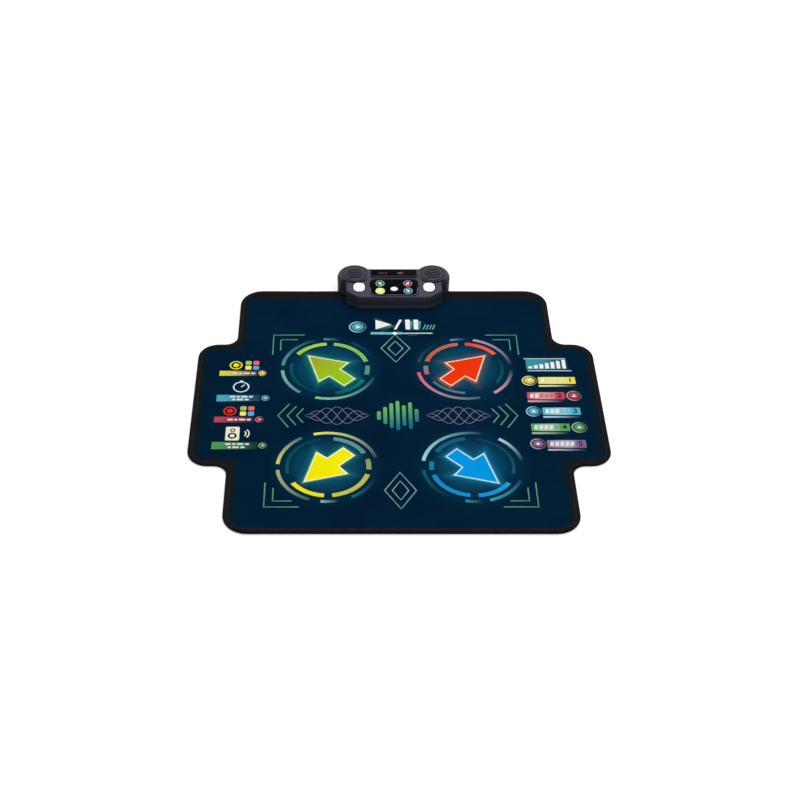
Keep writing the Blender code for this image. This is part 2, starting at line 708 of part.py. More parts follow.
def build_base_case(finish):
    """The console's lower shell: a ledge over the mat and a deeper part behind the mat's back edge."""
    case = solid("base_case", [lambda bm: rings(bm, prism(console_outline(0.0), CASE_FLOOR_Z, PARTING_Z))],
                 finish["case"])
    boolean(case, cutter("base_pods", [lambda bm: pod_pair(bm, 0.0, CASE_FLOOR_Z, PARTING_Z)]), "UNION")
    step_y = BACK_Y + 2 * GAP
    wide = 2 * CONSOLE_SIDE_HALF
    boolean(case, cutter("base_mat_space", [
        lambda bm: add_box(bm, (-wide, CONSOLE_Y - wide, -wide), (wide, step_y, LEDGE_Z))]))

    above = PARTING_Z + OVER
    boolean(case, cutter("base_hollow", [lambda bm: rings(bm, prism(
        console_outline(WALL, BACK_WALL), LEDGE_FLOOR, above))]))
    boolean(case, cutter("base_pod_hollows", [lambda bm: pod_pair(bm, WALL, LEDGE_FLOOR, above)]))
    boolean(case, cutter("base_rear_lobes", [
        lambda bm, s=s: rear_lobe(bm, s, WALL + POD_DRAFT, step_y + WALL, REAR_FLOOR, LEDGE_FLOOR + OVER)
        for s in (-1, 1)]))
    low = (-POD_X, step_y + WALL, REAR_FLOOR)
    high = (POD_X, CONSOLE_Y + CONSOLE_DEPTH - BACK_WALL, LEDGE_FLOOR + OVER)
    boolean(case, cutter("base_rear_hollow", [lambda bm: add_box(bm, low, high)]))

    posts = [lambda bm, p=p: add_cylinder(bm, p, BOARD_POST_RADIUS, LEDGE_FLOOR - OVER, BOARD_Z - GAP, 12)
             for p in board_posts()]
    boolean(case, cutter("base_board_posts", posts), "UNION")
    cups = [lambda bm, p=p: add_cylinder(bm, p, CUP_RADIUS, REAR_FLOOR - OVER, CUP_TOP, 16)
            for p in case_screw_places()]
    boolean(case, cutter("base_screw_cups", cups), "UNION")

    shaft = SCREW_RADIUS + 2 * SCREW_CLEARANCE
    holes = []
    for p in clamp_screw_places():
        holes.append(lambda bm, p=p: add_cylinder(bm, p, shaft, LEDGE_Z - OVER, LEDGE_FLOOR + OVER, 12))
    for p in case_screw_places():
        holes.append(lambda bm, p=p: add_cylinder(bm, p, HEAD_RADIUS + SCREW_CLEARANCE, CASE_FLOOR_Z - OVER,
                                                  CASE_FLOOR_Z + HEAD_HEIGHT + CUP_FLOOR, 16))
    slot = ribbon_slot()
    holes.append(lambda bm: add_box(bm, (*slot[0], LEDGE_Z - OVER), (*slot[2], LEDGE_FLOOR + OVER)))
    boolean(case, cutter("base_holes", holes))
    shafts = [lambda bm, p=p: add_cylinder(bm, p, shaft, CASE_FLOOR_Z, CUP_TOP + OVER, 12)
              for p in case_screw_places()]
    boolean(case, cutter("base_screw_shafts", shafts))
    opening = DOOR_HALF + DOOR_CLEARANCE
    inside = CONSOLE_Y + CONSOLE_DEPTH - BACK_WALL - OVER
    outside = CONSOLE_Y + CONSOLE_DEPTH + OVER
    boolean(case, cutter("base_door_opening", [lambda bm: add_box(
        bm, (-opening, inside, DOOR_BOTTOM_Z - DOOR_CLEARANCE), (opening, outside, above))]))
    pin = DOOR_HALF + DOOR_PIN_LENGTH + GAP
    boolean(case, cutter("base_hinge_bore", [lambda bm: add_rod(
        bm, (-pin, HINGE_Y, HINGE_Z), (pin, HINGE_Y, HINGE_Z), DOOR_PIN_RADIUS + GAP, 12)]))
    return case


def deck_frame():
    """An empty on the deck's front edge, turned to the deck's slope."""
    frame = bpy.data.objects.new("deck_frame", None)
    frame.location = (0, CONSOLE_Y, DECK_FRONT_Z)
    frame.rotation_euler = (DECK_ANGLE, 0, 0)
    bpy.data.collections[PARTS].objects.link(frame)
    return frame


def pocket(bm, outline, depth):
    """A cutter from a depth below the deck to above it, in the deck's own frame."""
    rings(bm, prism(outline, -depth, depth + OVER))


def build_top_case(finish, deck):
    """The console's upper shell with its deck and its two speaker pods."""
    bottom = PARTING_Z + GAP
    case = solid("top_case", [lambda bm: console_body(bm, 0.0, bottom, 0.0, EDGE_CHAMFER)], finish["case"])
    boolean(case, cutter("top_pods", [lambda bm: pod_pair(bm, 0.0, bottom)]), "UNION")
    under = bottom - OVER
    boolean(case, cutter("top_hollow", [lambda bm: console_body(bm, WALL, under, DECK_WALL,
                                                               back_inset=BACK_WALL)]))
    ceiling = POD_TOP_Z - DECK_WALL
    boolean(case, cutter("top_pod_hollows", [lambda bm: pod_pair(bm, WALL, under)]))

    bosses = []
    bores = []
    bore = SCREW_RADIUS + SCREW_CLEARANCE
    for seats, foot in ((clamp_screw_places(), LEDGE_FLOOR + GAP), (case_screw_places(), CUP_TOP + GAP)):
        for p in seats:
            top = deck_height(p[1]) - OVER
            end = foot + SCREW_BITE + OVER
            bosses.append(lambda bm, p=p, z=foot, t=top: add_cylinder(bm, p, BOSS_RADIUS, z, t, 16))
            bores.append(lambda bm, p=p, z=foot, t=end: add_cylinder(bm, p, bore, z - OVER, t, 12))
    boolean(case, cutter("top_bosses", bosses), "UNION")
    boolean(case, cutter("top_bores", bores))

    openings = []
    for side in (-1, 1):
        p = (side * POD_X, POD_AXIS_Y)
        openings.append(lambda bm, p=p: add_cylinder(bm, p, GRILLE_RADIUS + GAP, POD_TOP_Z - GRILLE_SEAT,
                                                     POD_TOP_Z + OVER, 2 * POD_STEPS))
    boolean(case, cutter("top_grille_seats", openings))
    throats = [lambda bm, s=s: add_cylinder(bm, (s * POD_X, POD_AXIS_Y), SPEAKER_OPENING,
                                            ceiling - OVER, POD_TOP_Z, 24) for s in (-1, 1)]
    boolean(case, cutter("top_speaker_throats", throats))

    grow = GAP
    boolean(case, cutter("deck_recesses", [
        lambda bm: pocket(bm, rectangle(PANEL_WIDTH / 2 + grow, PANEL_FROM - grow, PANEL_TO + grow,
                                        PANEL_CORNER + grow), RECESS),
        lambda bm: pocket(bm, rectangle(WINDOW_WIDTH / 2 + grow, WINDOW_FROM - grow, WINDOW_TO + grow,
                                        WINDOW_CORNER + grow, 2), RECESS),
    ], deck))
    through = DECK_WALL + 2 * OVER
    middle = (WINDOW_FROM + WINDOW_TO) / 2
    reach = DISPLAY_DEPTH / 2 - DISPLAY_LAP
    holes = [lambda bm: pocket(bm, rectangle(DISPLAY_WIDTH / 2 - DISPLAY_LAP, middle - reach, middle + reach,
                                             WINDOW_CORNER, 2), through)]
    for x in (-LAMP_X, LAMP_X):
        for v in LAMP_VS:
            holes.append(lambda bm, x=x, v=v: pocket(bm, circle(x, v, LAMP_RADIUS + GAP, 20), through))
    holes.append(lambda bm: pocket(bm, circle(0, CENTER_V, CENTER_RADIUS + BUTTON_CLEARANCE, 20), through))
    wide = BUTTON_WIDTH / 2 + BUTTON_CLEARANCE
    tall = BUTTON_LENGTH / 2 + BUTTON_CLEARANCE
    for side in (-1, 1):
        holes.append(lambda bm, x=side * BUTTON_X: pocket(bm, squircle(x, BUTTON_V, wide, tall), through))
    boolean(case, cutter("deck_holes", holes, deck))

    opening = DOOR_HALF + DOOR_CLEARANCE
    inside = CONSOLE_Y + CONSOLE_DEPTH - BACK_WALL - OVER
    outside = CONSOLE_Y + CONSOLE_DEPTH + OVER
    pod_inside = POD_BACK_Y - 2 * BACK_WALL
    pod_outside = POD_BACK_Y + OVER
    slot_half = (SLIDER_WIDTH + SLIDER_TRAVEL) / 2 + SLIDER_CLEARANCE
    slot_tall = SLIDER_HEIGHT / 2 + SLIDER_CLEARANCE
    boolean(case, cutter("top_back_openings", [
        lambda bm: add_box(bm, (-opening, inside, under),
                           (opening, outside, DOOR_BOTTOM_Z + DOOR_HEIGHT + DOOR_CLEARANCE)),
        lambda bm: add_box(bm, (-POD_X - slot_half, pod_inside, SWITCH_Z - slot_tall),
                           (-POD_X + slot_half, pod_outside, SWITCH_Z + slot_tall)),
        lambda bm: add_rod(bm, (POD_X, pod_inside, JACK_Z), (POD_X, pod_outside, JACK_Z), JACK_BARREL + GAP),
    ]))
    return case


def build_speakers(finish):
    """Grilles in the pods' tops and the speakers under them."""
    seat = POD_TOP_Z - GRILLE_SEAT + GAP
    rim = seat + GRILLE_RIM
    crown = [(GRILLE_RADIUS * k / 3, rim + GRILLE_CROWN * (1 - (k / 3) ** 2)) for k in range(4)]
    inside = GRILLE_RADIUS - GRILLE_RING
    hollow = [(inside, rim), (0.0, rim + GRILLE_CROWN - GRILLE_WALL)]
    profile = [*crown, (GRILLE_RADIUS, seat), (inside, seat), *hollow]
    middle = (len(SLOT_LENGTHS) - 1) / 2
    ceiling = POD_TOP_Z - DECK_WALL
    top = ceiling - GAP
    low = top - SPEAKER_DEPTH
    under = top - FRAME_THICKNESS
    speaker = [(0.0, top - CONE_DEPTH), (CONE_RADIUS, top), (SPEAKER_RADIUS, top), (SPEAKER_RADIUS, under),
               (CONE_RADIUS, under), (MAGNET_RADIUS, low + MAGNET_DEPTH), (MAGNET_RADIUS, low), (0.0, low)]
    for side, label in ((-1, "left"), (1, "right")):
        place = (side * POD_X, POD_AXIS_Y, 0)
        grille = turned(f"speaker_grille_{label}", profile, finish["grille"], 2 * POD_STEPS, place)
        slots = []
        for i, length in enumerate(SLOT_LENGTHS):
            y = POD_AXIS_Y + (i - middle) * SLOT_PITCH
            slots.append(lambda bm, x=place[0], y=y, half=length / 2: add_box(
                bm, (x - half, y - SLOT_WIDTH / 2, seat - OVER),
                (x + half, y + SLOT_WIDTH / 2, rim + GRILLE_CROWN + OVER)))
        boolean(grille, cutter(f"grille_slots_{label}", slots))
        turned(f"speaker_{label}", speaker, finish["black_plastic"], 20, place)


def crowned(bm, outline_at, levels):
    """A capped loft of one outline: each level gives its inset and its height."""
    rings(bm, [[(x, y, z) for x, y in outline_at(inset)] for inset, z in levels])


def button_levels(proud, flange, stem_low):
    """Levels of a button: stem, flange under the deck, and cap through the deck."""
    under = -DECK_WALL - GAP
    return [(None, stem_low), (None, under - FLANGE_THICKNESS), (-flange, under - FLANGE_THICKNESS),
            (-flange, under), (0.0, under), (0.0, proud - CAP_EDGE), (CAP_EDGE / 3, proud - CAP_EDGE / 3),
            (CAP_EDGE, proud)]


def build_buttons(finish, deck):
    """The three white buttons, which slide square to the deck, and the switches they press."""
    board_top = BOARD_Z + BOARD_THICKNESS
    switch_top = board_top + GAP + SWITCH_HEIGHT
    places = (("left", -BUTTON_X, BUTTON_V), ("right", BUTTON_X, BUTTON_V), ("center", 0.0, CENTER_V))
    for label, x, v in places:
        height = (DECK_FRONT_Z + v * math.sin(DECK_ANGLE) - switch_top) / math.cos(DECK_ANGLE)
        stem_low = -height + BUTTON_TRAVEL + 2 * GAP
        if label == "center":
            outline = lambda inset: circle(0, 0, STEM_RADIUS if inset is None else CENTER_RADIUS - inset, 20)
        else:
            def outline(inset):
                if inset is None:
                    return squircle(0, 0, STEM_RADIUS, STEM_RADIUS, power=2.0)
                return squircle(0, 0, BUTTON_WIDTH / 2 - inset, BUTTON_LENGTH / 2 - inset)
        levels = button_levels(BUTTON_PROUD, BUTTON_FLANGE, stem_low)
        solid(f"button_{label}", [lambda bm: crowned(bm, outline, levels)], finish["white"],
              location=(x, v, 0), parent=deck)
        y = CONSOLE_Y + v * math.cos(DECK_ANGLE) + height * math.sin(DECK_ANGLE)
        half = SWITCH_SIZE / 2
        body = SWITCH_HEIGHT - PLUNGER
        switch = solid(f"switch_{label}", [lambda bm: add_box(bm, (-half, -half, 0), (half, half, body))],
                       finish["black_plastic"], location=(x, y, board_top + GAP))
        sunk = switch_top - SWITCH_HEIGHT / 2
        knob = cutter(f"switch_plunger_{label}", [
            lambda bm: add_cylinder(bm, (x, y), PLUNGER_RADIUS, sunk, switch_top, 12)])
        boolean(switch, knob, "UNION")


def build_panel(finish, deck):
    """The glossy control panel with its lamps, and the display window."""
    floor = -RECESS + GAP
    top = floor + PANEL_THICKNESS
    outline = rectangle(PANEL_WIDTH / 2, PANEL_FROM, PANEL_TO, PANEL_CORNER)
    panel = solid("control_panel", [lambda bm: rings(bm, prism(outline, floor, top))], finish["gloss"],
                  parent=deck)
    through = RECESS + OVER
    holes = [lambda bm: pocket(bm, circle(0, CENTER_V, CENTER_RADIUS + BUTTON_CLEARANCE, 20), through)]
    for x in (-LAMP_X, LAMP_X):
        for v in LAMP_VS:
            holes.append(lambda bm, x=x, v=v: pocket(bm, circle(x, v, LAMP_RADIUS + GAP, 20), through))
    boolean(panel, cutter("panel_holes", holes, deck))
    window = rectangle(WINDOW_WIDTH / 2, WINDOW_FROM, WINDOW_TO, WINDOW_CORNER, 2)
    solid("display_window", [lambda bm: rings(bm, prism(window, floor, top))], finish["window"], parent=deck)
    middle = (WINDOW_FROM + WINDOW_TO) / 2
    high = -DECK_WALL - GAP
    solid("display_module", [lambda bm: add_box(
        bm, (-DISPLAY_WIDTH / 2, middle - DISPLAY_DEPTH / 2, high - DISPLAY_THICKNESS),
        (DISPLAY_WIDTH / 2, middle + DISPLAY_DEPTH / 2, high))], finish["display"], parent=deck)
    tints = {(-1, 0): "green", (1, 0): "red", (-1, 1): "yellow", (1, 1): "blue"}
    levels = [(-LAMP_FLANGE, high - FLANGE_THICKNESS), (-LAMP_FLANGE, high), (0.0, high), (0.0, top),
              (LAMP_PROUD, top + LAMP_PROUD)]
    for (side, row), tint in tints.items():
        shape = lambda bm: crowned(bm, lambda inset: circle(0, 0, LAMP_RADIUS - inset, 20), levels)
        solid(f"lamp_{tint}", [shape], finish[f"print_{tint}"], location=(side * LAMP_X, LAMP_VS[row], 0),
              parent=deck)


def build_board(finish):
    """The main board with its larger components, and the ribbon that joins it to the membranes."""
    low = (-BOARD_HALF, CONSOLE_Y + BOARD_FROM, BOARD_Z)
    high = (BOARD_HALF, CONSOLE_Y + BOARD_TO, BOARD_Z + BOARD_THICKNESS)
    board = solid("main_board", [lambda bm: add_box(bm, low, high)], finish["board"])
    top = BOARD_Z + BOARD_THICKNESS
    y = CONSOLE_Y
    sunk = top - OVER / 2
    chip_x, chip_y, chip_width, chip_depth, chip_height = CHIP
    plug_x, plug_y, plug_width, plug_depth, plug_height = PLUG
    can_x, can_y, can_radius, can_height = CAPACITOR
    parts = cutter("board_components", [
        lambda bm: add_box(bm, (chip_x, y + chip_y, sunk),
                           (chip_x + chip_width, y + chip_y + chip_depth, top + chip_height)),
        lambda bm: add_box(bm, (plug_x, y + plug_y, sunk),
                           (plug_x + plug_width, y + plug_y + plug_depth, top + plug_height)),
        lambda bm: add_cylinder(bm, (can_x, y + can_y), can_radius, sunk, top + can_height, 12),
    ])
    boolean(board, parts, "UNION")
    half = RIBBON_WIDTH / 2
    rise = y + RIBBON_Y
    side = [(rise - RIBBON_FOOT, 0.0), (rise, 0.0), (rise, BOARD_Z - GAP - COVER_Z),
            (rise - RIBBON_THICKNESS, BOARD_Z - GAP - COVER_Z), (rise - RIBBON_THICKNESS, RIBBON_THICKNESS),
            (rise - RIBBON_FOOT, RIBBON_THICKNESS)]
    loops = [[(x, py, COVER_Z + pz) for py, pz in side] for x in (-half, half)]
    solid("ribbon_tail", [lambda bm: rings(bm, loops)], finish["film"])


def build_batteries(finish):
    """The battery box, four cells, two contact strips and the door with its hinge pins."""
    front = BOX_BACK_Y - BOX_DEPTH
    box = solid("battery_box", [lambda bm: add_box(bm, (-BOX_HALF, front, BOX_FLOOR_Z),
                                                   (BOX_HALF, BOX_BACK_Y, BOX_FLOOR_Z + BOX_HEIGHT))],
                finish["black_plastic"])
    inner = BOX_HALF - BOX_WALL
    boolean(box, cutter("battery_bay", [lambda bm: add_box(
        bm, (-inner, front + BOX_WALL, BOX_FLOOR_Z + BOX_WALL),
        (inner, BOX_BACK_Y + OVER, BOX_FLOOR_Z + BOX_HEIGHT - BOX_WALL))]))
    first_z = BOX_FLOOR_Z + BOX_WALL + GAP + CELL_RADIUS
    body = CELL_LENGTH - CELL_NUB
    profile = [(0.0, CELL_LENGTH), (CELL_NUB_RADIUS, CELL_LENGTH), (CELL_NUB_RADIUS, body),
               (CELL_RADIUS - CELL_EDGE, body), (CELL_RADIUS, body - CELL_EDGE), (CELL_RADIUS, 0.0),
               (0.0, 0.0)]
    for row in range(2):
        for column in range(2):
            start = -CELL_LENGTH - CELL_SPACING / 2 if column == 0 else CELL_SPACING / 2
            turn = 1 if row == 0 else -1
            x = start if turn == 1 else start + CELL_LENGTH
            cell = turned(f"battery_{row * 2 + column + 1}", profile, finish["cell"], 16,
                          (x, CELL_Y, first_z + row * CELL_ROW))
            cell.rotation_euler = (0, turn * math.pi / 2, 0)
    for side, label in ((-1, "left"), (1, "right")):
        outer = inner - GAP
        near, far = sorted((side * outer, side * (outer - CONTACT_THICKNESS)))
        strip = solid(f"battery_contact_{label}", [lambda bm: add_box(
            bm, (near, CELL_Y - CONTACT_HALF, first_z - CONTACT_HALF),
            (far, CELL_Y + CONTACT_HALF, first_z + CELL_ROW + CONTACT_HALF))], finish["spring"])
        root = side * (outer - CONTACT_THICKNESS / 2)
        tip = side * (outer - CONTACT_REACH + 2 * GAP)
        bumps = cutter(f"contact_bumps_{label}", [
            lambda bm, z=z: add_rod(bm, (root, CELL_Y, z), (tip, CELL_Y, z), BUMP_RADIUS, 12)
            for z in (first_z, first_z + CELL_ROW)])
        boolean(strip, bumps, "UNION")

    half = DOOR_THICKNESS / 2
    top = DOOR_HEIGHT - half
    arc = [(half * math.cos(math.radians(a)), half * math.sin(math.radians(a))) for a in range(180, 361, 30)]
    side = [*arc, (half, top), (-half, top)]
    door = solid("battery_door", [lambda bm: rings(bm, [[(x, py, pz) for py, pz in side]
                                                        for x in (-DOOR_HALF, DOOR_HALF)])],
                 finish["case"], location=(0, HINGE_Y, HINGE_Z))
    pin = DOOR_HALF + DOOR_PIN_LENGTH
    boolean(door, cutter("door_pins", [lambda bm: add_rod(
        bm, (-pin, HINGE_Y, HINGE_Z), (pin, HINGE_Y, HINGE_Z), DOOR_PIN_RADIUS, 12)]), "UNION")
    grip_top = HINGE_Z + top - GRIP_FROM_TOP
    boolean(door, cutter("door_grip", [lambda bm: add_box(
        bm, (-GRIP_HALF, HINGE_Y + half - GRIP_DEPTH, grip_top - GRIP_HEIGHT),
        (GRIP_HALF, HINGE_Y + half + OVER, grip_top))]))


def build_back_fittings(finish):
    """The power switch in the back of the left pod and the audio jack in the back of the right one."""
    inner = POD_BACK_Y - POD_DRAFT - WALL - GAP
    wide, deep, tall = SWITCH_BODY
    seat = inner - (wide / 2) ** 2 / (2 * (POD_RADIUS - WALL))
    x = -POD_X
    solid("power_switch_body", [lambda bm: add_box(bm, (x - wide / 2, seat - deep, SWITCH_Z - tall / 2),
                                                   (x + wide / 2, seat, SWITCH_Z + tall / 2))],
          finish["spring"])
    outer = POD_BACK_Y + SLIDER_PROUD
    length = outer - seat - GAP
    half = (SLIDER_WIDTH / 2, length / 2, SLIDER_HEIGHT / 2)
    solid("power_switch_slider", [lambda bm: add_box(bm, [-h for h in half], half)],
          finish["black_plastic"], location=(x - SLIDER_TRAVEL / 2, outer - length / 2, SWITCH_Z))

    wide, deep, tall = JACK_BODY
    seat = inner - (wide / 2) ** 2 / (2 * (POD_RADIUS - WALL))
    x = POD_X
    jack = solid("audio_jack", [lambda bm: add_box(bm, (x - wide / 2, seat - deep, JACK_Z - tall / 2),
                                                   (x + wide / 2, seat, JACK_Z + tall / 2))],
                 finish["black_plastic"])
    mouth = POD_BACK_Y + JACK_PROUD
    boolean(jack, cutter("jack_barrel", [lambda bm: add_rod(bm, (x, seat - OVER, JACK_Z), (x, mouth, JACK_Z),
                                                            JACK_BARREL)]), "UNION")
    boolean(jack, cutter("jack_bore", [lambda bm: add_rod(bm, (x, mouth - JACK_BORE_DEPTH, JACK_Z),
                                                          (x, mouth + OVER, JACK_Z), JACK_BORE, 12)]))


def build_fasteners(finish):
    """The rear case screws and the two rubber feet."""
    seat = CASE_FLOOR_Z + HEAD_HEIGHT + CUP_FLOOR - GAP
    tip = CUP_TOP + GAP + SCREW_BITE
    profile = [(0.0, tip), (SCREW_RADIUS, tip - SCREW_TIP), (SCREW_RADIUS, seat), (HEAD_RADIUS, seat),
               (HEAD_RADIUS, seat - HEAD_HEIGHT), (0.0, seat - HEAD_HEIGHT)]
    for side, (x, y) in zip(("left", "right"), case_screw_places()):
        turned(f"case_screw_{side}", profile, finish["steel"], 12, location=(x, y, 0))
    top = CASE_FLOOR_Z - GAP
    foot = [(0.0, top), (FOOT_RADIUS, top), (FOOT_RADIUS, FOOT_EDGE), (FOOT_RADIUS - FOOT_EDGE, 0.0),
            (0.0, 0.0)]
    for side, label in ((-1, "left"), (1, "right")):
        turned(f"foot_{label}", foot, finish["rubber"], 20, location=(side * POD_X, CONSOLE_Y + FOOT_Y, 0))


def make_finishes():
    """Every material, by the name that the builders use."""
    table = {
        "cover": ((0.003, 0.012, 0.030), 0.55, 0.0),
        "binding": ((0.007, 0.007, 0.009), 0.80, 0.0),
        "non_slip": ((0.010, 0.010, 0.011), 0.85, 0.0),
        "rubber": ((0.010, 0.010, 0.011), 0.85, 0.0),
        "foam": ((0.55, 0.56, 0.58), 0.90, 0.0),
        "film": ((0.60, 0.62, 0.66), 0.35, 0.0),
        "print_green": ((0.30, 0.56, 0.013), 0.50, 0.0),
        "print_red": ((0.86, 0.045, 0.006), 0.50, 0.0),
        "print_yellow": ((0.98, 0.90, 0.001), 0.50, 0.0),
        "print_blue": ((0.001, 0.33, 0.78), 0.50, 0.0),
        "print_purple": ((0.20, 0.055, 0.22), 0.50, 0.0),
        "case": ((0.030, 0.030, 0.040), 0.42, 0.0),
        "grille": ((0.026, 0.026, 0.032), 0.38, 0.0),
        "gloss": ((0.002, 0.002, 0.004), 0.08, 0.0),
        "window": ((0.004, 0.004, 0.012), 0.06, 0.0),
        "display": ((0.10, 0.006, 0.006), 0.40, 0.0),
        "white": ((0.84, 0.85, 0.84), 0.32, 0.0),
        "black_plastic": ((0.012, 0.012, 0.013), 0.50, 0.0),
        "board": ((0.012, 0.085, 0.030), 0.45, 0.0),
        "cell": ((0.10, 0.11, 0.12), 0.35, 0.4),
        "spring": ((0.60, 0.58, 0.54), 0.30, 1.0),
        "steel": ((0.42, 0.42, 0.43), 0.35, 1.0),
    }
    return {name: material(name, *values) for name, values in table.items()}


def main():
    """Build the whole object."""
    clear_scene()
    finish = make_finishes()
    build_mat(finish)
    build_zones(finish)
    build_clamp(finish)
    deck = deck_frame()
    build_base_case(finish)
    build_top_case(finish, deck)
    build_speakers(finish)
    build_buttons(finish, deck)
    build_panel(finish, deck)
    build_board(finish)
    build_batteries(finish)
    build_back_fittings(finish)
    build_fasteners(finish)


main()
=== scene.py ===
"""The looks of an electronic dance mat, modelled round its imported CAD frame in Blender 4.5.

Metres, +Z up. The player stands on the -Y side and the console is on the +Y side.
"""

import json
import logging
import math
from collections.abc import Callable, Iterator, Sequence
from contextlib import contextmanager
from dataclasses import dataclass, field
from enum import Enum

import bmesh
import bpy
from mathutils import Matrix, Vector


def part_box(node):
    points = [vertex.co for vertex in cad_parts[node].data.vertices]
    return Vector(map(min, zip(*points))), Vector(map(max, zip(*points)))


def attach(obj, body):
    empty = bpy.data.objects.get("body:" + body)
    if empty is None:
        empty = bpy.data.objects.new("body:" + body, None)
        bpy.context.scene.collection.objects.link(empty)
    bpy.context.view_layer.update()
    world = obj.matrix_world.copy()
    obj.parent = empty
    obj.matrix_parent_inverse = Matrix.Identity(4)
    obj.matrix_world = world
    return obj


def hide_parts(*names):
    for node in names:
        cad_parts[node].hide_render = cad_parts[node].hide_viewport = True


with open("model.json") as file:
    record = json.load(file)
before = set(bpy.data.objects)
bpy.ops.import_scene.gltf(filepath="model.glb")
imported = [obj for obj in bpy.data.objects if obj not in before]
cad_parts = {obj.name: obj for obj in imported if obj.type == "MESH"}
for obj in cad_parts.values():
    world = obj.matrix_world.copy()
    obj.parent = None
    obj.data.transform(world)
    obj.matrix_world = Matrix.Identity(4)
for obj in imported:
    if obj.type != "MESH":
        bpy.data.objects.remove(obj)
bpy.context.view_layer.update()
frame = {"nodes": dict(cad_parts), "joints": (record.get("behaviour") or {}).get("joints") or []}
LOG = logging.getLogger("dance_mat")

Piece = bpy.types.Object
Socket = bpy.types.NodeSocket
Point = Sequence[float]
Color = tuple[float, float, float]
Paint = Color | Callable[[Vector], tuple]     # one colour, or a function from place to colour and cover

NEAR = 1e-5                # two places this close are one
INK = "ink"                # attribute that holds a print's colour and how much it covers


def middle_of(node: str) -> tuple[float, float]:
    """The middle of a CAD node, seen from above."""
    low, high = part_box(node)
    return ((low.x + high.x) / 2, (low.y + high.y) / 2)


def half_width(node: str) -> float:
    """Half of a CAD node's width."""
    low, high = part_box(node)
    return (high.x - low.x) / 2


# Places that the frame gives
(_, FRONT_Y, _), (MAT_HALF, BACK_Y, MAT_TOP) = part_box("edge_binding")
COVER_LOW, COVER_TOP = (corner.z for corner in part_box("top_cover"))
CONSOLE_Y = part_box("base_case")[0].y
POD_X, POD_Y = middle_of("speaker_grille_right")
GRILLE_SEAT_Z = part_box("speaker_grille_right")[0].z
ZONES = sorted(name for name in frame["nodes"] if name.startswith("zone_"))
POD_TOP_Z = GRILLE_SEAT_Z + 0.0009
DECK_FRONT_Z = POD_TOP_Z - 0.0080
PRESS_AXIS = next(Vector(j["axis"]) for j in frame["joints"] if j["name"] == "press_button_left")
DECK_ANGLE = math.asin(PRESS_AXIS.y)
DECK = Matrix.Translation((0.0, CONSOLE_Y, DECK_FRONT_Z)) @ Matrix.Rotation(DECK_ANGLE, 4, "X")


class Kind(Enum):
    """What a selection in edit mode holds."""

    POINTS = "VERT"
    EDGES = "EDGE"
    FACES = "FACE"


class Tint(Enum):
    """Printing inks and lamp colours, as screen colours."""

    GREEN = "#9ac81f"
    RED = "#f2360c"
    YELLOW = "#fff405"
    BLUE = "#0499e6"
    PURPLE = "#846890"
    CYAN = "#4fb4cc"
    STRAW = "#e9e05a"
    ROSE = "#c8485a"
    LEAF = "#58a460"
    WHITE = "#f2f6f4"

    @property
    def rgb(self) -> Color:
        """The ink as a linear colour."""
        return linear(self.value)


def linear(code: str) -> Color:
    """Turns a screen colour, written as #rrggbb, into a linear one."""
    parts = [int(code[i:i + 2], 16) / 255 for i in (1, 3, 5)]
    return tuple(p / 12.92 if p <= 0.04045 else ((p + 0.055) / 1.055) ** 2.4 for p in parts)


def blend(first: Color, second: Color, share: float) -> Color:
    """Mixes two colours, with a share of the second."""
    share = min(max(share, 0.0), 1.0)
    return tuple(a + (b - a) * share for a, b in zip(first, second))


def ease(value: float, low: float, high: float) -> float:
    """A smooth step from 0 at low to 1 at high."""
    share = min(max((value - low) / (high - low), 0.0), 1.0)
    return share * share * (3 - 2 * share)


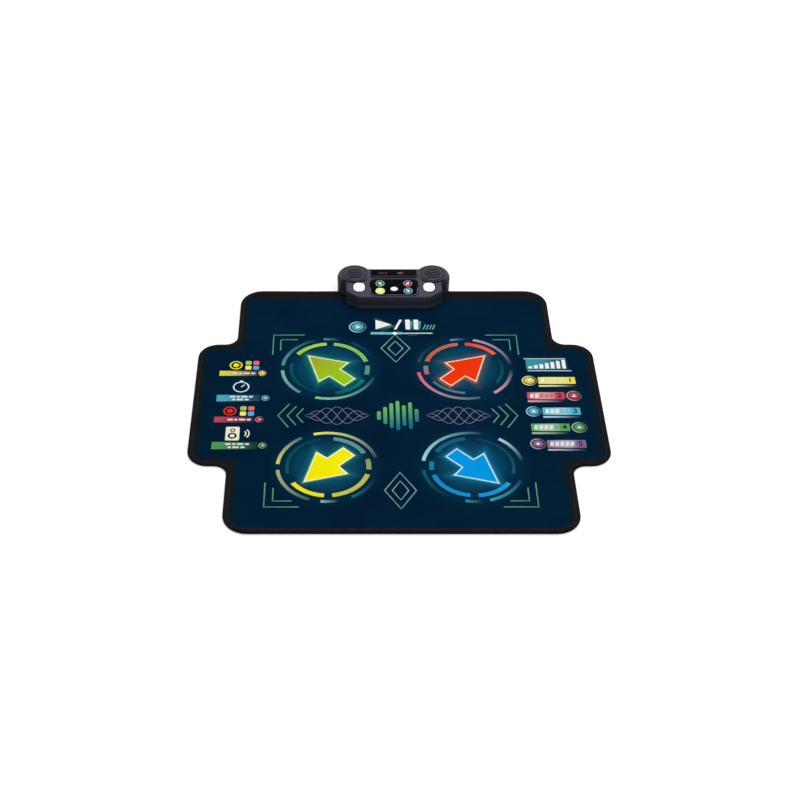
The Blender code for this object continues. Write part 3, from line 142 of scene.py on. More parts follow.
class Graph:
    """Short calls that add nodes to one tree and join them."""

    def __init__(self, tree: bpy.types.NodeTree) -> None:
        """Works on one node tree."""
        self.tree = tree

    def node(self, kind: str, **settings: object) -> bpy.types.Node:
        """Adds a shader node.

        Args:
            kind: The node's type, without its prefix.
            **settings: Values for the node's own settings.

        Returns:
            The new node.
        """
        made = self.tree.nodes.new(f"ShaderNode{kind}")
        for name, value in settings.items():
            setattr(made, name, value)
        return made

    def feed(self, socket: Socket, value: object) -> None:
        """Gives a socket a link, a number or a colour.

        Args:
            socket: The input to fill.
            value: Another node's output, a number, or a colour of three parts.
        """
        if isinstance(value, bpy.types.NodeSocket):
            self.tree.links.new(value, socket)
        elif isinstance(value, tuple) and socket.type == "RGBA":
            socket.default_value = (*value, 1.0)
        else:
            socket.default_value = value

    def result(self, made: bpy.types.Node, given: dict, output: int | str = 0) -> Socket:
        """Fills a node's inputs.

        Args:
            made: The node.
            given: What goes into each input, by the input's place or name.
            output: The place or name of the wanted output.

        Returns:
            That output.
        """
        for key, value in given.items():
            self.feed(made.inputs[key], value)
        return made.outputs[output]

    def math(self, operation: str, *values: object) -> Socket:
        """Adds a Math node and returns its result."""
        return self.result(self.node("Math", operation=operation), dict(enumerate(values)))

    def mix(self, share: object, first: object, second: object) -> Socket:
        """Adds a colour mix and returns its result."""
        return self.result(self.node("Mix", data_type="RGBA"), {0: share, 6: first, 7: second}, 2)

    def ease(self, value: object, low: float, high: float) -> Socket:
        """Adds a smooth step from 0 at low to 1 at high and returns its result."""
        return self.result(self.node("MapRange", interpolation_type="SMOOTHSTEP"), {0: value, 1: low, 2: high})

    def noise(self, place: Socket, scale: object, detail: float = 2.0) -> Socket:
        """Adds a noise texture over a place and returns its value."""
        return self.result(self.node("TexNoise"), {"Vector": place, "Scale": scale, "Detail": detail}, "Fac")

    def place(self) -> Socket:
        """Adds the object's own coordinates and returns them."""
        return self.node("TexCoord").outputs["Object"]

    def split(self, place: Socket) -> Sequence[Socket]:
        """Parts a place.

        Args:
            place: The place.

        Returns:
            Its three coordinates.
        """
        parts = self.node("SeparateXYZ")
        self.feed(parts.inputs[0], place)
        return parts.outputs


def shared_group(name: str, inputs: dict[str, float], outputs: dict[str, str],
                 fill: Callable[[Graph, Sequence[Socket]], Sequence[object]]) -> bpy.types.NodeTree:
    """Returns a shader node group, built at its first use.

    Args:
        name: The group's name.
        inputs: Each input's name and its first value.
        outputs: Each output's name and its socket type.
        fill: Adds the group's nodes, from its graph and its inputs, and returns what each output gives.

    Returns:
        The group.
    """
    tree = bpy.data.node_groups.get(name)
    if tree is None:
        tree = bpy.data.node_groups.new(name, "ShaderNodeTree")
        for title, value in inputs.items():
            tree.interface.new_socket(title, in_out="INPUT", socket_type="NodeSocketFloat").default_value = value
        for title, kind in outputs.items():
            tree.interface.new_socket(title, in_out="OUTPUT", socket_type=f"NodeSocket{kind}")
        source, target = tree.nodes.new("NodeGroupInput"), tree.nodes.new("NodeGroupOutput")
        graph = Graph(tree)
        for title, value in zip(outputs, fill(graph, source.outputs)):
            graph.feed(target.inputs[title], value)
    return tree


class Effect(Enum):
    """The surface effects that finishes share, each a shader node group that is built once."""

    MOULDED = "moulded_grain"
    WOVEN = "woven_cloth"
    COATED = "coated_cloth"
    BRUSHED = "brushed_metal"

    def tree(self) -> bpy.types.NodeTree:
        """Returns the effect's node group, built at its first use."""
        return shared_group(self.value, {"Size": 0.001}, {"Height": "Float", "Tone": "Float"}, self._fill)

    def _fill(self, graph: Graph, given: Sequence[Socket]) -> tuple[Socket, Socket]:
        """Adds the effect's nodes.

        Args:
            graph: The group's graph.
            given: The group's inputs.

        Returns:
            The surface's height and its tone.
        """
        add = {Effect.MOULDED: self._moulded, Effect.WOVEN: self._woven, Effect.COATED: self._coated,
               Effect.BRUSHED: self._brushed}[self]
        return add(graph, graph.place(), graph.math("DIVIDE", 1.0, given["Size"]))

    @staticmethod
    def _moulded(graph: Graph, place: Socket, scale: Socket) -> tuple[Socket, Socket]:
        """Fine spark grain, with slow patches where the mould is duller."""
        grain = graph.noise(place, scale, 3.0)
        return grain, graph.ease(graph.noise(place, 38.0, 4.0), 0.32, 0.68)

    @staticmethod
    def _woven(graph: Graph, place: Socket, scale: Socket) -> tuple[Socket, Socket]:
        """Threads over and under each other in both directions, each a little uneven.

        Args:
            graph: Where the nodes go.
            place: The place on the surface.
            scale: How many repeats go into a metre.

        Returns:
            The height, and how worn the place is.
        """
        turn = graph.math("MULTIPLY", scale, math.pi)
        warp, weft = (graph.math("SINE", graph.math("MULTIPLY", along, turn)) for along in graph.split(place)[:2])
        loose = graph.noise(place, graph.math("MULTIPLY", scale, 0.35), 2.0)
        return (graph.math("ADD", graph.math("MULTIPLY", warp, weft), loose),
                graph.ease(graph.noise(place, 60.0, 5.0), 0.3, 0.7))

    @staticmethod
    def _coated(graph: Graph, place: Socket, scale: Socket) -> tuple[Socket, Socket]:
        """A smooth coating over cloth: soft pebbles, with faint handling marks.

        Args:
            graph: Where the nodes go.
            place: The place on the surface.
            scale: How many repeats go into a metre.

        Returns:
            The height, and how worn the place is.
        """
        cells = graph.node("TexVoronoi", feature="SMOOTH_F1")
        marks = graph.math("ADD", graph.noise(place, 9.0, 5.0), graph.noise(place, 150.0, 2.0))
        return graph.result(cells, {"Vector": place, "Scale": scale}, "Distance"), graph.ease(marks, 0.8, 1.2)

    @staticmethod
    def _brushed(graph: Graph, place: Socket, scale: Socket) -> tuple[Socket, Socket]:
        """Long fine strokes along X.

        Args:
            graph: Where the nodes go.
            place: The place on the surface.
            scale: How many repeats go into a metre.

        Returns:
            The height, and how worn the place is.
        """
        stretched = graph.result(graph.node("Mapping"), {"Vector": place, "Scale": (0.06, 1.0, 1.0)})
        strokes = graph.noise(stretched, scale, 3.0)
        return strokes, graph.ease(strokes, 0.35, 0.65)


# How far each arrow is printed beside its pad's centre
ARROW_SHIFT = {"green": (0.0017, -0.0030), "red": (0.0024, -0.0030), "yellow": (0.0, 0.0), "blue": (0.0040, -0.0038)}


@dataclass(frozen=True)
class Field:
    """The mat's printed ground: dark blue, with a glow in each arrow ring and a black fade at the binding."""

    step_x: float = 0.158
    step_near: float = 0.1995
    step_far: float = 0.534
    body_half: float = 0.376
    wing_low: float = 0.205
    wing_high: float = 0.624
    # Pairs of distances: where a shade starts, and where it is full
    ring_wash: tuple[float, float] = (0.135, 0.098)
    ring_core: tuple[float, float] = (0.100, 0.050)
    halo_reach: tuple[float, float] = (0.100, 0.080)
    halo_wide: tuple[float, float] = (0.022, 0.0)
    halo_slim: tuple[float, float] = (0.0062, 0.0005)
    side_fade: tuple[float, float] = (0.029, 0.012)
    back_fade: tuple[float, float] = (0.050, 0.021)

    def tree(self) -> bpy.types.NodeTree:
        """Returns the node group that gives the ground's colour, built at its first use."""
        return shared_group("printed_field", {}, {"Color": "Color"}, lambda graph, _: [self._color(graph)])

    def _color(self, graph: Graph) -> Socket:
        """Lays the ground's parts over each other.

        Args:
            graph: The group's graph.

        Returns:
            The finished colour.
        """
        place = graph.place()
        across, along = graph.split(place)[:2]
        along = graph.math("SUBTRACT", along, FRONT_Y)
        wide = graph.math("ABSOLUTE", across)
        middle = (self.step_near + self.step_far) / 2
        away = graph.math("SUBTRACT", along, middle)
        out_x = graph.math("SUBTRACT", wide, self.step_x)
        out_y = graph.math("SUBTRACT", graph.math("ABSOLUTE", away), self.step_far - middle)
        reach = graph.math("SQRT", graph.math("ADD", graph.math("MULTIPLY", out_x, out_x),
                                              graph.math("MULTIPLY", out_y, out_y)))
        cloud = graph.noise(place, 7.0, 3.0)
        color = graph.mix(graph.ease(cloud, 0.3, 0.7), linear("#001b31"), linear("#012137"))
        right = graph.math("GREATER_THAN", across, 0.0)
        rear = graph.math("GREATER_THAN", away, 0.0)
        arrow_x, arrow_y = (graph.math("ADD", out, self._shift(graph, right, rear, k))
                            for k, out in enumerate((out_x, out_y)))
        color = graph.mix(graph.math("MULTIPLY", graph.ease(reach, *self.ring_wash), 0.55), color, linear("#04304a"))
        color = graph.mix(graph.ease(reach, *self.ring_core), color, linear("#074662"))
        halo = graph.mix(rear, graph.mix(right, linear("#2c8c80"), linear("#1290c8")),
                         graph.mix(right, linear("#2a9a7c"), linear("#7a5a4c")))
        gap = self._arrow_gap(graph, arrow_x, arrow_y)
        far = graph.math("MULTIPLY", graph.ease(gap, *self.halo_wide), 0.30)
        near = graph.math("MULTIPLY", graph.ease(gap, *self.halo_slim), 0.72)
        inside = graph.ease(reach, *self.halo_reach)
        color = graph.mix(graph.math("MULTIPLY", far, inside), color, halo)
        color = graph.mix(graph.math("MULTIPLY", near, inside), color, graph.mix(0.20, halo, linear("#e8f4d8")))
        edge = graph.math("MAXIMUM", self._inside(graph, wide, along, self.body_half, -1.0, BACK_Y - FRONT_Y),
                          self._inside(graph, wide, along, MAT_HALF, self.wing_low, self.wing_high))
        color = graph.mix(graph.ease(edge, *self.side_fade), color, linear("#111b1d"))
        back = graph.math("SUBTRACT", BACK_Y - FRONT_Y, along)
        return graph.mix(graph.ease(back, *self.back_fade), color, linear("#18171a"))

    @staticmethod
    def _shift(graph: Graph, right: Socket, rear: Socket, axis: int) -> Socket:
        """Gives how far each arrow is printed inwards of its ring's centre, counted outwards from it.

        Args:
            graph: The group's graph.
            right: 1 right of the middle, 0 left of it.
            rear: 1 for the rings at the back, 0 for those in front.
            axis: 0 for X and 1 for Y.

        Returns:
            The distance to add to a place's distance from the ring's centre.
        """
        signs = {"yellow": (-1, -1), "blue": (1, -1), "green": (-1, 1), "red": (1, 1)}
        yellow, blue, green, red = (-signs[name][axis] * ARROW_SHIFT[name][axis] for name in signs)
        front = graph.math("MULTIPLY_ADD", right, blue - yellow, yellow)
        back = graph.math("MULTIPLY_ADD", right, red - green, green)
        return graph.math("ADD", graph.math("MULTIPLY", back, rear),
                          graph.math("MULTIPLY", front, graph.math("SUBTRACT", 1.0, rear)))

    @staticmethod
    def _arrow_gap(graph: Graph, out_x: Socket, out_y: Socket) -> Socket:
        """Gives the distance to the arrow, which points diagonally outwards in every ring.

        Args:
            graph: The group's graph.
            out_x: Place along X from the ring's centre, outwards.
            out_y: Place along Y from the ring's centre, outwards.

        Returns:
            The distance outside the arrow, below zero inside it.
        """
        arrow = Arrow()
        half = math.sqrt(0.5)
        u = graph.math("MULTIPLY", graph.math("ADD", out_x, out_y), half)
        w = graph.math("ABSOLUTE", graph.math("MULTIPLY", graph.math("SUBTRACT", out_y, out_x), half))
        slope = Vector((arrow.head_half, arrow.tip + arrow.head_rear)).normalized()
        side = graph.math("ADD", graph.math("MULTIPLY", graph.math("SUBTRACT", u, arrow.tip), slope.x),
                          graph.math("MULTIPLY", w, slope.y))
        rear = graph.math("SUBTRACT", -arrow.head_rear, u)
        head = graph.math("MAXIMUM", side, rear)
        shaft = graph.math("MAXIMUM", graph.math("SUBTRACT", w, arrow.shaft_half),
                           graph.math("SUBTRACT", -arrow.tail, u))
        shaft = graph.math("MAXIMUM", shaft, u)
        return graph.math("MINIMUM", head, shaft)

    @staticmethod
    def _inside(graph: Graph, wide: Socket, along: Socket, half: float, low: float, high: float) -> Socket:
        """Tells how far inside a rectangle a place is, where the rectangle is centred across.

        Args:
            graph: Where the nodes go.
            wide: The place's distance from the middle.
            along: Its place along.
            half: The rectangle's half width.
            low: Its near edge.
            high: Its far edge.

        Returns:
            The distance to its nearest edge, negative outside.
        """
        across = graph.math("SUBTRACT", half, wide)
        down = graph.math("SUBTRACT", along, low)
        up = graph.math("SUBTRACT", high, along)
        return graph.math("MINIMUM", across, graph.math("MINIMUM", down, up))


class Coloring(Enum):
    """Where a finish takes its colour from."""

    PLAIN = "one colour"
    FIELD = "the mat's printed ground"
    INK = "ink over the printed ground"


@dataclass(frozen=True)
class Finish:
    """A surface: its colour, its gloss and the relief of its grain or weave."""

    name: str
    color: str = "#808080"
    roughness: float = 0.5
    metallic: float = 0.0
    specular: float = 0.35
    coat: float = 0.0
    sheen: float = 0.0
    effect: Effect = Effect.MOULDED
    size: float = 0.0007
    relief: float = 0.00002
    mottle: float = 0.12
    scuff: float = 0.08
    glow: float = 0.0
    coloring: Coloring = Coloring.PLAIN

    def material(self) -> bpy.types.Material:
        """Builds the finish at its first use.

        Returns:
            The material.
        """
        made = bpy.data.materials.get(self.name)
        if made is not None:
            return made
        made = bpy.data.materials.new(self.name)
        made.use_nodes = True
        graph = Graph(made.node_tree)
        shader = made.node_tree.nodes["Principled BSDF"]
        effect = graph.node("Group", node_tree=self.effect.tree())
        effect.inputs["Size"].default_value = self.size
        tone = effect.outputs["Tone"]
        color = graph.mix(tone, *self._shades(graph))
        graph.feed(shader.inputs["Base Color"], color)
        rough = graph.math("MULTIPLY_ADD", tone, -self.scuff, self.roughness + self.scuff / 2)
        graph.feed(shader.inputs["Roughness"], rough)
        bump = graph.node("Bump")
        bump.inputs["Distance"].default_value = self.relief
        graph.feed(bump.inputs["Height"], effect.outputs["Height"])
        graph.feed(shader.inputs["Normal"], bump.outputs[0])
        plain = {"Metallic": self.metallic, "Specular IOR Level": self.specular, "Coat Weight": self.coat,
                 "Coat Roughness": 0.08, "Sheen Weight": self.sheen, "Sheen Roughness": 0.5}
        for title, value in plain.items():
            shader.inputs[title].default_value = value
        if self.glow:
            graph.feed(shader.inputs["Emission Color"], color)
            shader.inputs["Emission Strength"].default_value = self.glow
        return made

    def _shades(self, graph: Graph) -> tuple[object, object]:
        """Gives the two colours between which the surface varies.

        Args:
            graph: The material's graph.

        Returns:
            The darker and the lighter colour.
        """
        if self.coloring is Coloring.PLAIN:
            plain = linear(self.color)
            return tuple(tuple(c * (1 + self.mottle * sign) for c in plain) for sign in (-0.8, 0.4))
        ground = graph.node("Group", node_tree=Field().tree()).outputs["Color"]
        if self.coloring is Coloring.INK:
            paint = graph.node("Attribute", attribute_name=INK)
            ground = graph.mix(paint.outputs["Alpha"], ground, paint.outputs["Color"])
        return graph.mix(self.mottle, ground, (0.0, 0.0, 0.0)), ground


class Look:
    """The finishes of this object."""

    COVER = Finish("coated_print_cloth", roughness=0.60, specular=0.008, effect=Effect.COATED, size=0.0022,
                   relief=0.00005, mottle=0.06, coloring=Coloring.FIELD)
    PRINT = Finish("printing_ink", roughness=0.55, specular=0.008, effect=Effect.COATED, size=0.0022,
                   relief=0.00004, mottle=0.05, coloring=Coloring.INK)
    TAPE = Finish("woven_tape", "#161518", 0.82, specular=0.05, effect=Effect.WOVEN, size=0.0011,
                  relief=0.00012, mottle=0.12)
    THREAD = Finish("sewing_thread", "#232226", 0.70, specular=0.20, effect=Effect.WOVEN, size=0.0004,
                    relief=0.00004, mottle=0.25)
    NON_SLIP = Finish("non_slip_cloth", "#141416", 0.85, specular=0.15, effect=Effect.COATED, size=0.0030,
                      relief=0.00025, mottle=0.25)
    FOAM = Finish("closed_cell_foam", "#c6c7cb", 0.90, specular=0.15, effect=Effect.COATED, size=0.0008,
                  relief=0.00010, mottle=0.10)
    FILM = Finish("contact_film", "#cdd0d6", 0.35, specular=0.4, size=0.004, relief=0.00001, mottle=0.05)
    CASE = Finish("moulded_case", "#484854", 0.42, specular=0.08, size=0.0006, relief=0.000035, mottle=0.10)
    GRILLE = Finish("moulded_grille", "#383842", 0.36, specular=0.14, size=0.0006, relief=0.00002, mottle=0.10)
    DARK = Finish("black_moulding", "#101012", 0.46, specular=0.10, size=0.0006, relief=0.00003, mottle=0.12)
    GLOSS = Finish("piano_black_panel", "#010610", 0.10, specular=0.02, size=0.02, relief=0.000002,
                   mottle=0.20, scuff=0.04)
    WINDOW = Finish("tinted_window", "#05060f", 0.09, specular=0.02, size=0.02, relief=0.000002,
                    mottle=0.20, scuff=0.04)
    SILL = Finish("window_sill", "#24222f", 0.30, specular=0.10, size=0.004, relief=0.000002, mottle=0.20)
    # A slim bead's pale colour: a painted highlight on the panel's rim
    INLAY = Finish("panel_highlight_bead", "#82849c", 0.30, specular=0.20, size=0.004, relief=0.000002, mottle=0.20)
    WHITE = Finish("white_button", "#fafafa", 0.34, specular=0.40, size=0.0009, relief=0.00001, mottle=0.02)
    RUBBER = Finish("moulded_rubber", "#131314", 0.80, specular=0.20, size=0.0010, relief=0.00005, mottle=0.20)
    CLOTH = Finish("speaker_cloth", "#0c0c0e", 0.90, specular=0.05, effect=Effect.WOVEN, size=0.0008,
                   relief=0.00010, mottle=0.30)
    BOARD = Finish("circuit_board", "#1d5533", 0.42, specular=0.45, size=0.0015, relief=0.00002, mottle=0.20)
    WRAP = Finish("cell_wrapper", "#35383c", 0.30, 0.35, 0.5, size=0.004, relief=0.000005, mottle=0.15)
    STEEL = Finish("zinc_plated_steel", "#a9a9ab", 0.32, 1.0, 0.5, effect=Effect.BRUSHED, size=0.0006,
                   relief=0.00001, mottle=0.15)
    SPRING = Finish("plated_spring_steel", "#cdcac4", 0.26, 1.0, 0.5, effect=Effect.BRUSHED, size=0.0005,
                    relief=0.00001, mottle=0.12)


def lamp_finish(name: str, color: str, glow: float, roughness: float = 0.18) -> Finish:
    """A glowing clear moulding."""
    return Finish(name, color, roughness, specular=0.35, coat=0.2, size=0.003, relief=0.000004, mottle=0.10,
                  scuff=0.05, glow=glow)


def lone(piece: Piece) -> None:
    """Makes a piece the only one selected, and the active one.

    Args:
        piece: The piece.
    """
    bpy.ops.object.select_all(action="DESELECT")
    piece.select_set(True)
    bpy.context.view_layer.objects.active = piece


@contextmanager
def editing(piece: Piece, kind: Kind = Kind.FACES) -> Iterator[None]:
    """Holds a piece in edit mode, with all of it selected at the start.

    Args:
        piece: The piece.
        kind: What can be selected.

    Returns:
        The hold, for a with statement.
    """
    lone(piece)
    bpy.ops.object.mode_set(mode="EDIT")
    bpy.ops.mesh.select_mode(type=kind.value)
    bpy.ops.mesh.select_all(action="SELECT")
    try:
        yield
    finally:
        bpy.ops.object.mode_set(mode="OBJECT")


def pick(piece: Piece, kind: Kind, test: Callable[[object], bool]) -> None:
    """Selects, in edit mode, what passes a test.

    Args:
        piece: The piece in edit mode.
        kind: Points, edges or faces.
        test: Tells whether one of them is wanted.
    """
    bpy.ops.mesh.select_mode(type=kind.value)
    bpy.ops.mesh.select_all(action="DESELECT")
    mesh = bmesh.from_edit_mesh(piece.data)
    for part in {Kind.POINTS: mesh.verts, Kind.EDGES: mesh.edges, Kind.FACES: mesh.faces}[kind]:
        if test(part):
            part.select_set(True)
    bmesh.update_edit_mesh(piece.data)


def settle(piece: Piece, name: str = "") -> Piece:
    """Puts a piece's place into its mesh.

    Args:
        piece: The piece.
        name: Its new name, if it gets one.

    Returns:
        The piece.
    """
    lone(piece)
    bpy.ops.object.transform_apply(location=True, rotation=True, scale=True)
    if name:
        piece.name = name
    return piece


def put(piece: Piece, place: Matrix) -> Piece:
    """Moves a piece's mesh by a matrix."""
    piece.matrix_world = place @ piece.matrix_world
    return settle(piece)


def reshape(piece: Piece, move: Callable[[Vector], Point]) -> Piece:
    """Moves each point of a piece's mesh.

    Args:
        piece: The piece.
        move: Gives a point's new place from its old one.

    Returns:
        The piece.
    """
    for point in piece.data.vertices:
        point.co = move(point.co)
    piece.data.update()
    return piece


def face_up(piece: Piece) -> Piece:
    """Turns a flat face's front upwards."""
    if piece.data.polygons[0].normal.z < 0:
        with editing(piece):
            bpy.ops.mesh.flip_normals()
    return piece


def outwards(piece: Piece) -> Piece:
    """Merges doubled points and turns all faces outwards."""
    with editing(piece):
        bpy.ops.mesh.remove_doubles(threshold=NEAR / 5)
        bpy.ops.mesh.select_all(action="SELECT")
        bpy.ops.mesh.normals_make_consistent(inside=False)
    return piece


def modify(piece: Piece, kind: str, **settings: object) -> Piece:
    """Gives a piece a modifier, and applies it.

    Args:
        piece: The piece to change.
        kind: The modifier's type.
        **settings: Values for the modifier's own settings.

    Returns:
        The changed piece.
    """
    lone(piece)
    step = piece.modifiers.new(kind, kind)
    for name, value in settings.items():
        setattr(step, name, value)
    bpy.ops.object.modifier_apply(modifier=step.name)
    return piece


def cut(spot: Point, lean: Point, **ends: bool) -> None:
    """Cuts the whole of the piece in edit mode by a plane, and closes or clears a side if told to."""
    bpy.ops.mesh.select_all(action="SELECT")
    bpy.ops.mesh.bisect(plane_co=spot, plane_no=lean, **ends)


def path(name: str, points: Sequence[Point]) -> Piece:
    """Draws a chain of edges, by extruding one point after another.

    Args:
        name: The piece's name.
        points: The chain's points, in three dimensions.

    Returns:
        The chain.
    """
    bpy.ops.object.select_all(action="DESELECT")
    bpy.ops.mesh.primitive_plane_add(size=0.001, location=points[0])
    piece = settle(bpy.context.object, name)
    with editing(piece, Kind.POINTS):
        bpy.ops.mesh.merge(type="CENTER")
        for here, there in zip(points, points[1:]):
            bpy.ops.mesh.extrude_region_move(
                TRANSFORM_OT_translate={"value": tuple(Vector(there) - Vector(here))})
    return piece


def drawn(name: str, points: Sequence[Point], z: float = 0.0) -> Piece:
    """Draws a flat face.

    Args:
        name: The piece's name.
        points: The points round it, in the plane.
        z: Its height.

    Returns:
        The face, its front upwards.
    """
    piece = path(name, [(x, y, z) for x, y in points])
    with editing(piece, Kind.POINTS):
        bpy.ops.mesh.edge_face_add()
    return face_up(piece)


def slab(name: str, low: Point, high: Point, radius: float = 0.0, steps: int = 5, z: float = 0.0) -> Piece:
    """A flat rectangle whose corners may be rounded.

    Args:
        name: The piece's name.
        low: Its lowest corner.
        high: Its highest corner.
        radius: The corners' radius.
        steps: How many steps round each corner.
        z: Its height.

    Returns:
        The flat piece.
    """
    bpy.ops.object.select_all(action="DESELECT")
    middle = ((low[0] + high[0]) / 2, (low[1] + high[1]) / 2, z)
    bpy.ops.mesh.primitive_plane_add(size=1.0, location=middle)
    piece = bpy.context.object
    piece.scale = (high[0] - low[0], high[1] - low[1], 1.0)
    settle(piece, name)
    if radius:
        with editing(piece):
            bpy.ops.mesh.bevel(offset=radius, segments=steps, affect="VERTICES")
    return piece


def disc(name: str, x: float, y: float, radius: float, z: float = 0.0, steps: int = 48) -> Piece:
    """A flat round face.

    Args:
        name: The piece's name.
        x: Its middle across.
        y: Its middle along.
        radius: Its radius.
        z: Its height.
        steps: How many steps round it.

    Returns:
        The face, its front upwards.
    """
    bpy.ops.object.select_all(action="DESELECT")
    bpy.ops.mesh.primitive_circle_add(vertices=steps, radius=radius, fill_type="NGON", location=(x, y, z))
    return face_up(settle(bpy.context.object, name))


def rod(name: str, radius: float, length: float, place: Point, steps: int = 24, along_x: bool = True) -> Piece:
    """A round bar along X or along Y.

    Args:
        name: The piece's name.
        radius: Its radius.
        length: Its length.
        place: Its middle.
        steps: How many steps round it.
        along_x: Whether it lies along X.

    Returns:
        The bar.
    """
    bpy.ops.object.select_all(action="DESELECT")
    turn = (0, math.pi / 2, 0) if along_x else (math.pi / 2, 0, 0)
    bpy.ops.mesh.primitive_cylinder_add(vertices=steps, radius=radius, depth=length, rotation=turn, location=place)
    return settle(bpy.context.object, name)


def steps_round(radius: float) -> int:
    """How many steps a circle of the mat needs."""
    return 24 if radius < 0.005 else 48 if radius < 0.05 else 96


def lift(height: float) -> None:
    """Extrudes what is selected upwards."""
    bpy.ops.mesh.extrude_region_move(TRANSFORM_OT_translate={"value": (0.0, 0.0, height)})


def fillet(radius: float, steps: int = 3) -> list[tuple[float, float]]:
    """Steps inwards and upwards round an edge of a radius."""
    turns = [math.pi / 2 * k / steps for k in range(steps + 1)]
    return [(radius * (math.cos(a) - math.cos(b)), radius * (math.sin(b) - math.sin(a)))
            for a, b in zip(turns, turns[1:])]


def thicken(piece: Piece, height: float, edge: Sequence[tuple[float, float]] = ()) -> Piece:
    """Makes a flat piece solid.

    Args:
        piece: The flat piece.
        height: How far its top rises above it, below zero for downwards.
        edge: Steps inwards and upwards that shape the top's edge.

    Returns:
        The solid piece.
    """
    with editing(piece):
        lift(height - math.copysign(sum(rise for _, rise in edge), height))
        for width, rise in edge:
            bpy.ops.mesh.inset(thickness=width, depth=rise)
    return outwards(piece)


def lathe(name: str, profile: Sequence[Point], place: Point, steps: int = 64, turn: float = math.tau) -> Piece:
    """Turns a profile round an upright axis.

    Args:
        name: The piece's name.
        profile: Pairs of radius and height, from the axis or a rim to the other end.
        place: Where the axis stands.
        steps: How many steps in the turn.
        turn: The angle of the turn.

    Returns:
        The turned piece.
    """
    piece = path(name, [(r, 0.0, z) for r, z in profile])
    with editing(piece, Kind.POINTS):
        bpy.ops.mesh.spin(steps=steps, angle=turn, center=(0, 0, 0), axis=(0, 0, -1))
    return put(outwards(piece), Matrix.Translation((place[0], place[1], 0.0)))


def combine(name: str, pieces: Sequence[Piece]) -> Piece:
    """Joins pieces.

    Args:
        name: The whole's name.
        pieces: The pieces, at least one.

    Returns:
        The whole.
    """
    bpy.ops.object.select_all(action="DESELECT")
    for piece in pieces:
        piece.select_set(True)
    bpy.context.view_layer.objects.active = pieces[0]
    if len(pieces) > 1:
        bpy.ops.object.join()
    pieces[0].name = name
    return pieces[0]


def carve(piece: Piece, *tools: Piece, operation: str = "DIFFERENCE") -> Piece:
    """Cuts a piece by others, or joins them to it, and removes them.

    Args:
        piece: The piece to change.
        *tools: The pieces that shape it.
        operation: The Boolean modifier's operation.

    Returns:
        The changed piece.
    """
    for tool in tools:
        modify(piece, "BOOLEAN", operation=operation, solver="EXACT", object=tool)
        bpy.data.objects.remove(tool, do_unlink=True)
    return piece


def soften(piece: Piece, width: float, segments: int = 2, angle: float = 40.0) -> Piece:
    """Rounds a piece's sharp edges by a Bevel modifier, and applies it."""
    return modify(piece, "BEVEL", width=width, segments=segments, limit_method="ANGLE",
                  angle_limit=math.radians(angle))


def slice_up(piece: Piece, step: float) -> Piece:
    """Cuts a piece's faces along a square grid, so that it can follow a curved ground.

    Args:
        piece: The piece.
        step: The grid's pitch.

    Returns:
        The piece.
    """
    spots = [point.co for point in piece.data.vertices]
    with editing(piece):
        for axis in (0, 1):
            low, high = min(p[axis] for p in spots), max(p[axis] for p in spots)
            for k in range(math.ceil(low / step), math.floor(high / step) + 1):
                at, along = [0.0, 0.0, 0.0], [0.0, 0.0, 0.0]
                at[axis], along[axis] = k * step, 1.0
                cut(at, along)
    return piece


SWELL = 0.00020               # height of the soft mat's waves
CALM = (0.145, 0.006, 0.06)   # the calm place at the console: half its width, its lead and its fringe


def swell(x: float, y: float) -> float:
    """Gives the soft mat's slow waves, which are still under the console.

    Args:
        x: A place across.
        y: Its place along.

    Returns:
        How far the mat's top rises or falls there.
    """
    waves = (math.sin(15.1 * x + 1.1) * math.cos(11.9 * y + 0.4) + 0.6 * math.sin(19.7 * x + 16.3 * y + 2.0)
             + 0.5 * math.sin(27.1 * y - 8.2 * x))
    half, lead, fringe = CALM
    away = math.hypot(max(abs(x) - half, 0.0), max(CONSOLE_Y - lead - y, 0.0))
    return SWELL * waves * ease(away, 0.0, fringe)


def drape(piece: Piece) -> Piece:
    """Lets a piece of the mat follow the swell, fully at its top and not at all on the floor."""
    return reshape(piece, lambda p: (p.x, p.y, p.z + swell(p.x, p.y) * min(p.z / COVER_TOP, 1.1)))


def dress(piece: Piece, finish: Finish) -> None:
    """Gives a piece or a CAD node a finish in all its material slots.

    Args:
        piece: The piece or the node.
        finish: Its finish.
    """
    made = finish.material()
    if not piece.material_slots:
        piece.data.materials.append(made)
    for slot in piece.material_slots:
        slot.material = made


def mount(piece: Piece, finish: Finish, slot: str, body: str = "mat", stands_for: Sequence[str] = (),
          angle: float = 32.0) -> Piece:
    """Finishes a piece and puts it on its body.

    Args:
        piece: The finished shape.
        finish: Its finish.
        slot: A material slot of the record. Not used.
        body: The CAD body that it rides on.
        stands_for: The CAD nodes that it replaces.
        angle: Edges sharper than this, in degrees, stay sharp.

    Returns:
        The piece.
    """
    lone(piece)
    bpy.ops.object.shade_smooth_by_angle(angle=math.radians(angle))
    piece.data.materials.clear()
    dress(piece, finish)
    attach(piece, body)
    if stands_for:
        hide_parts(*stands_for)
    LOG.info("%s: %d faces, on %s", piece.name, len(piece.data.polygons), body)
    return piece


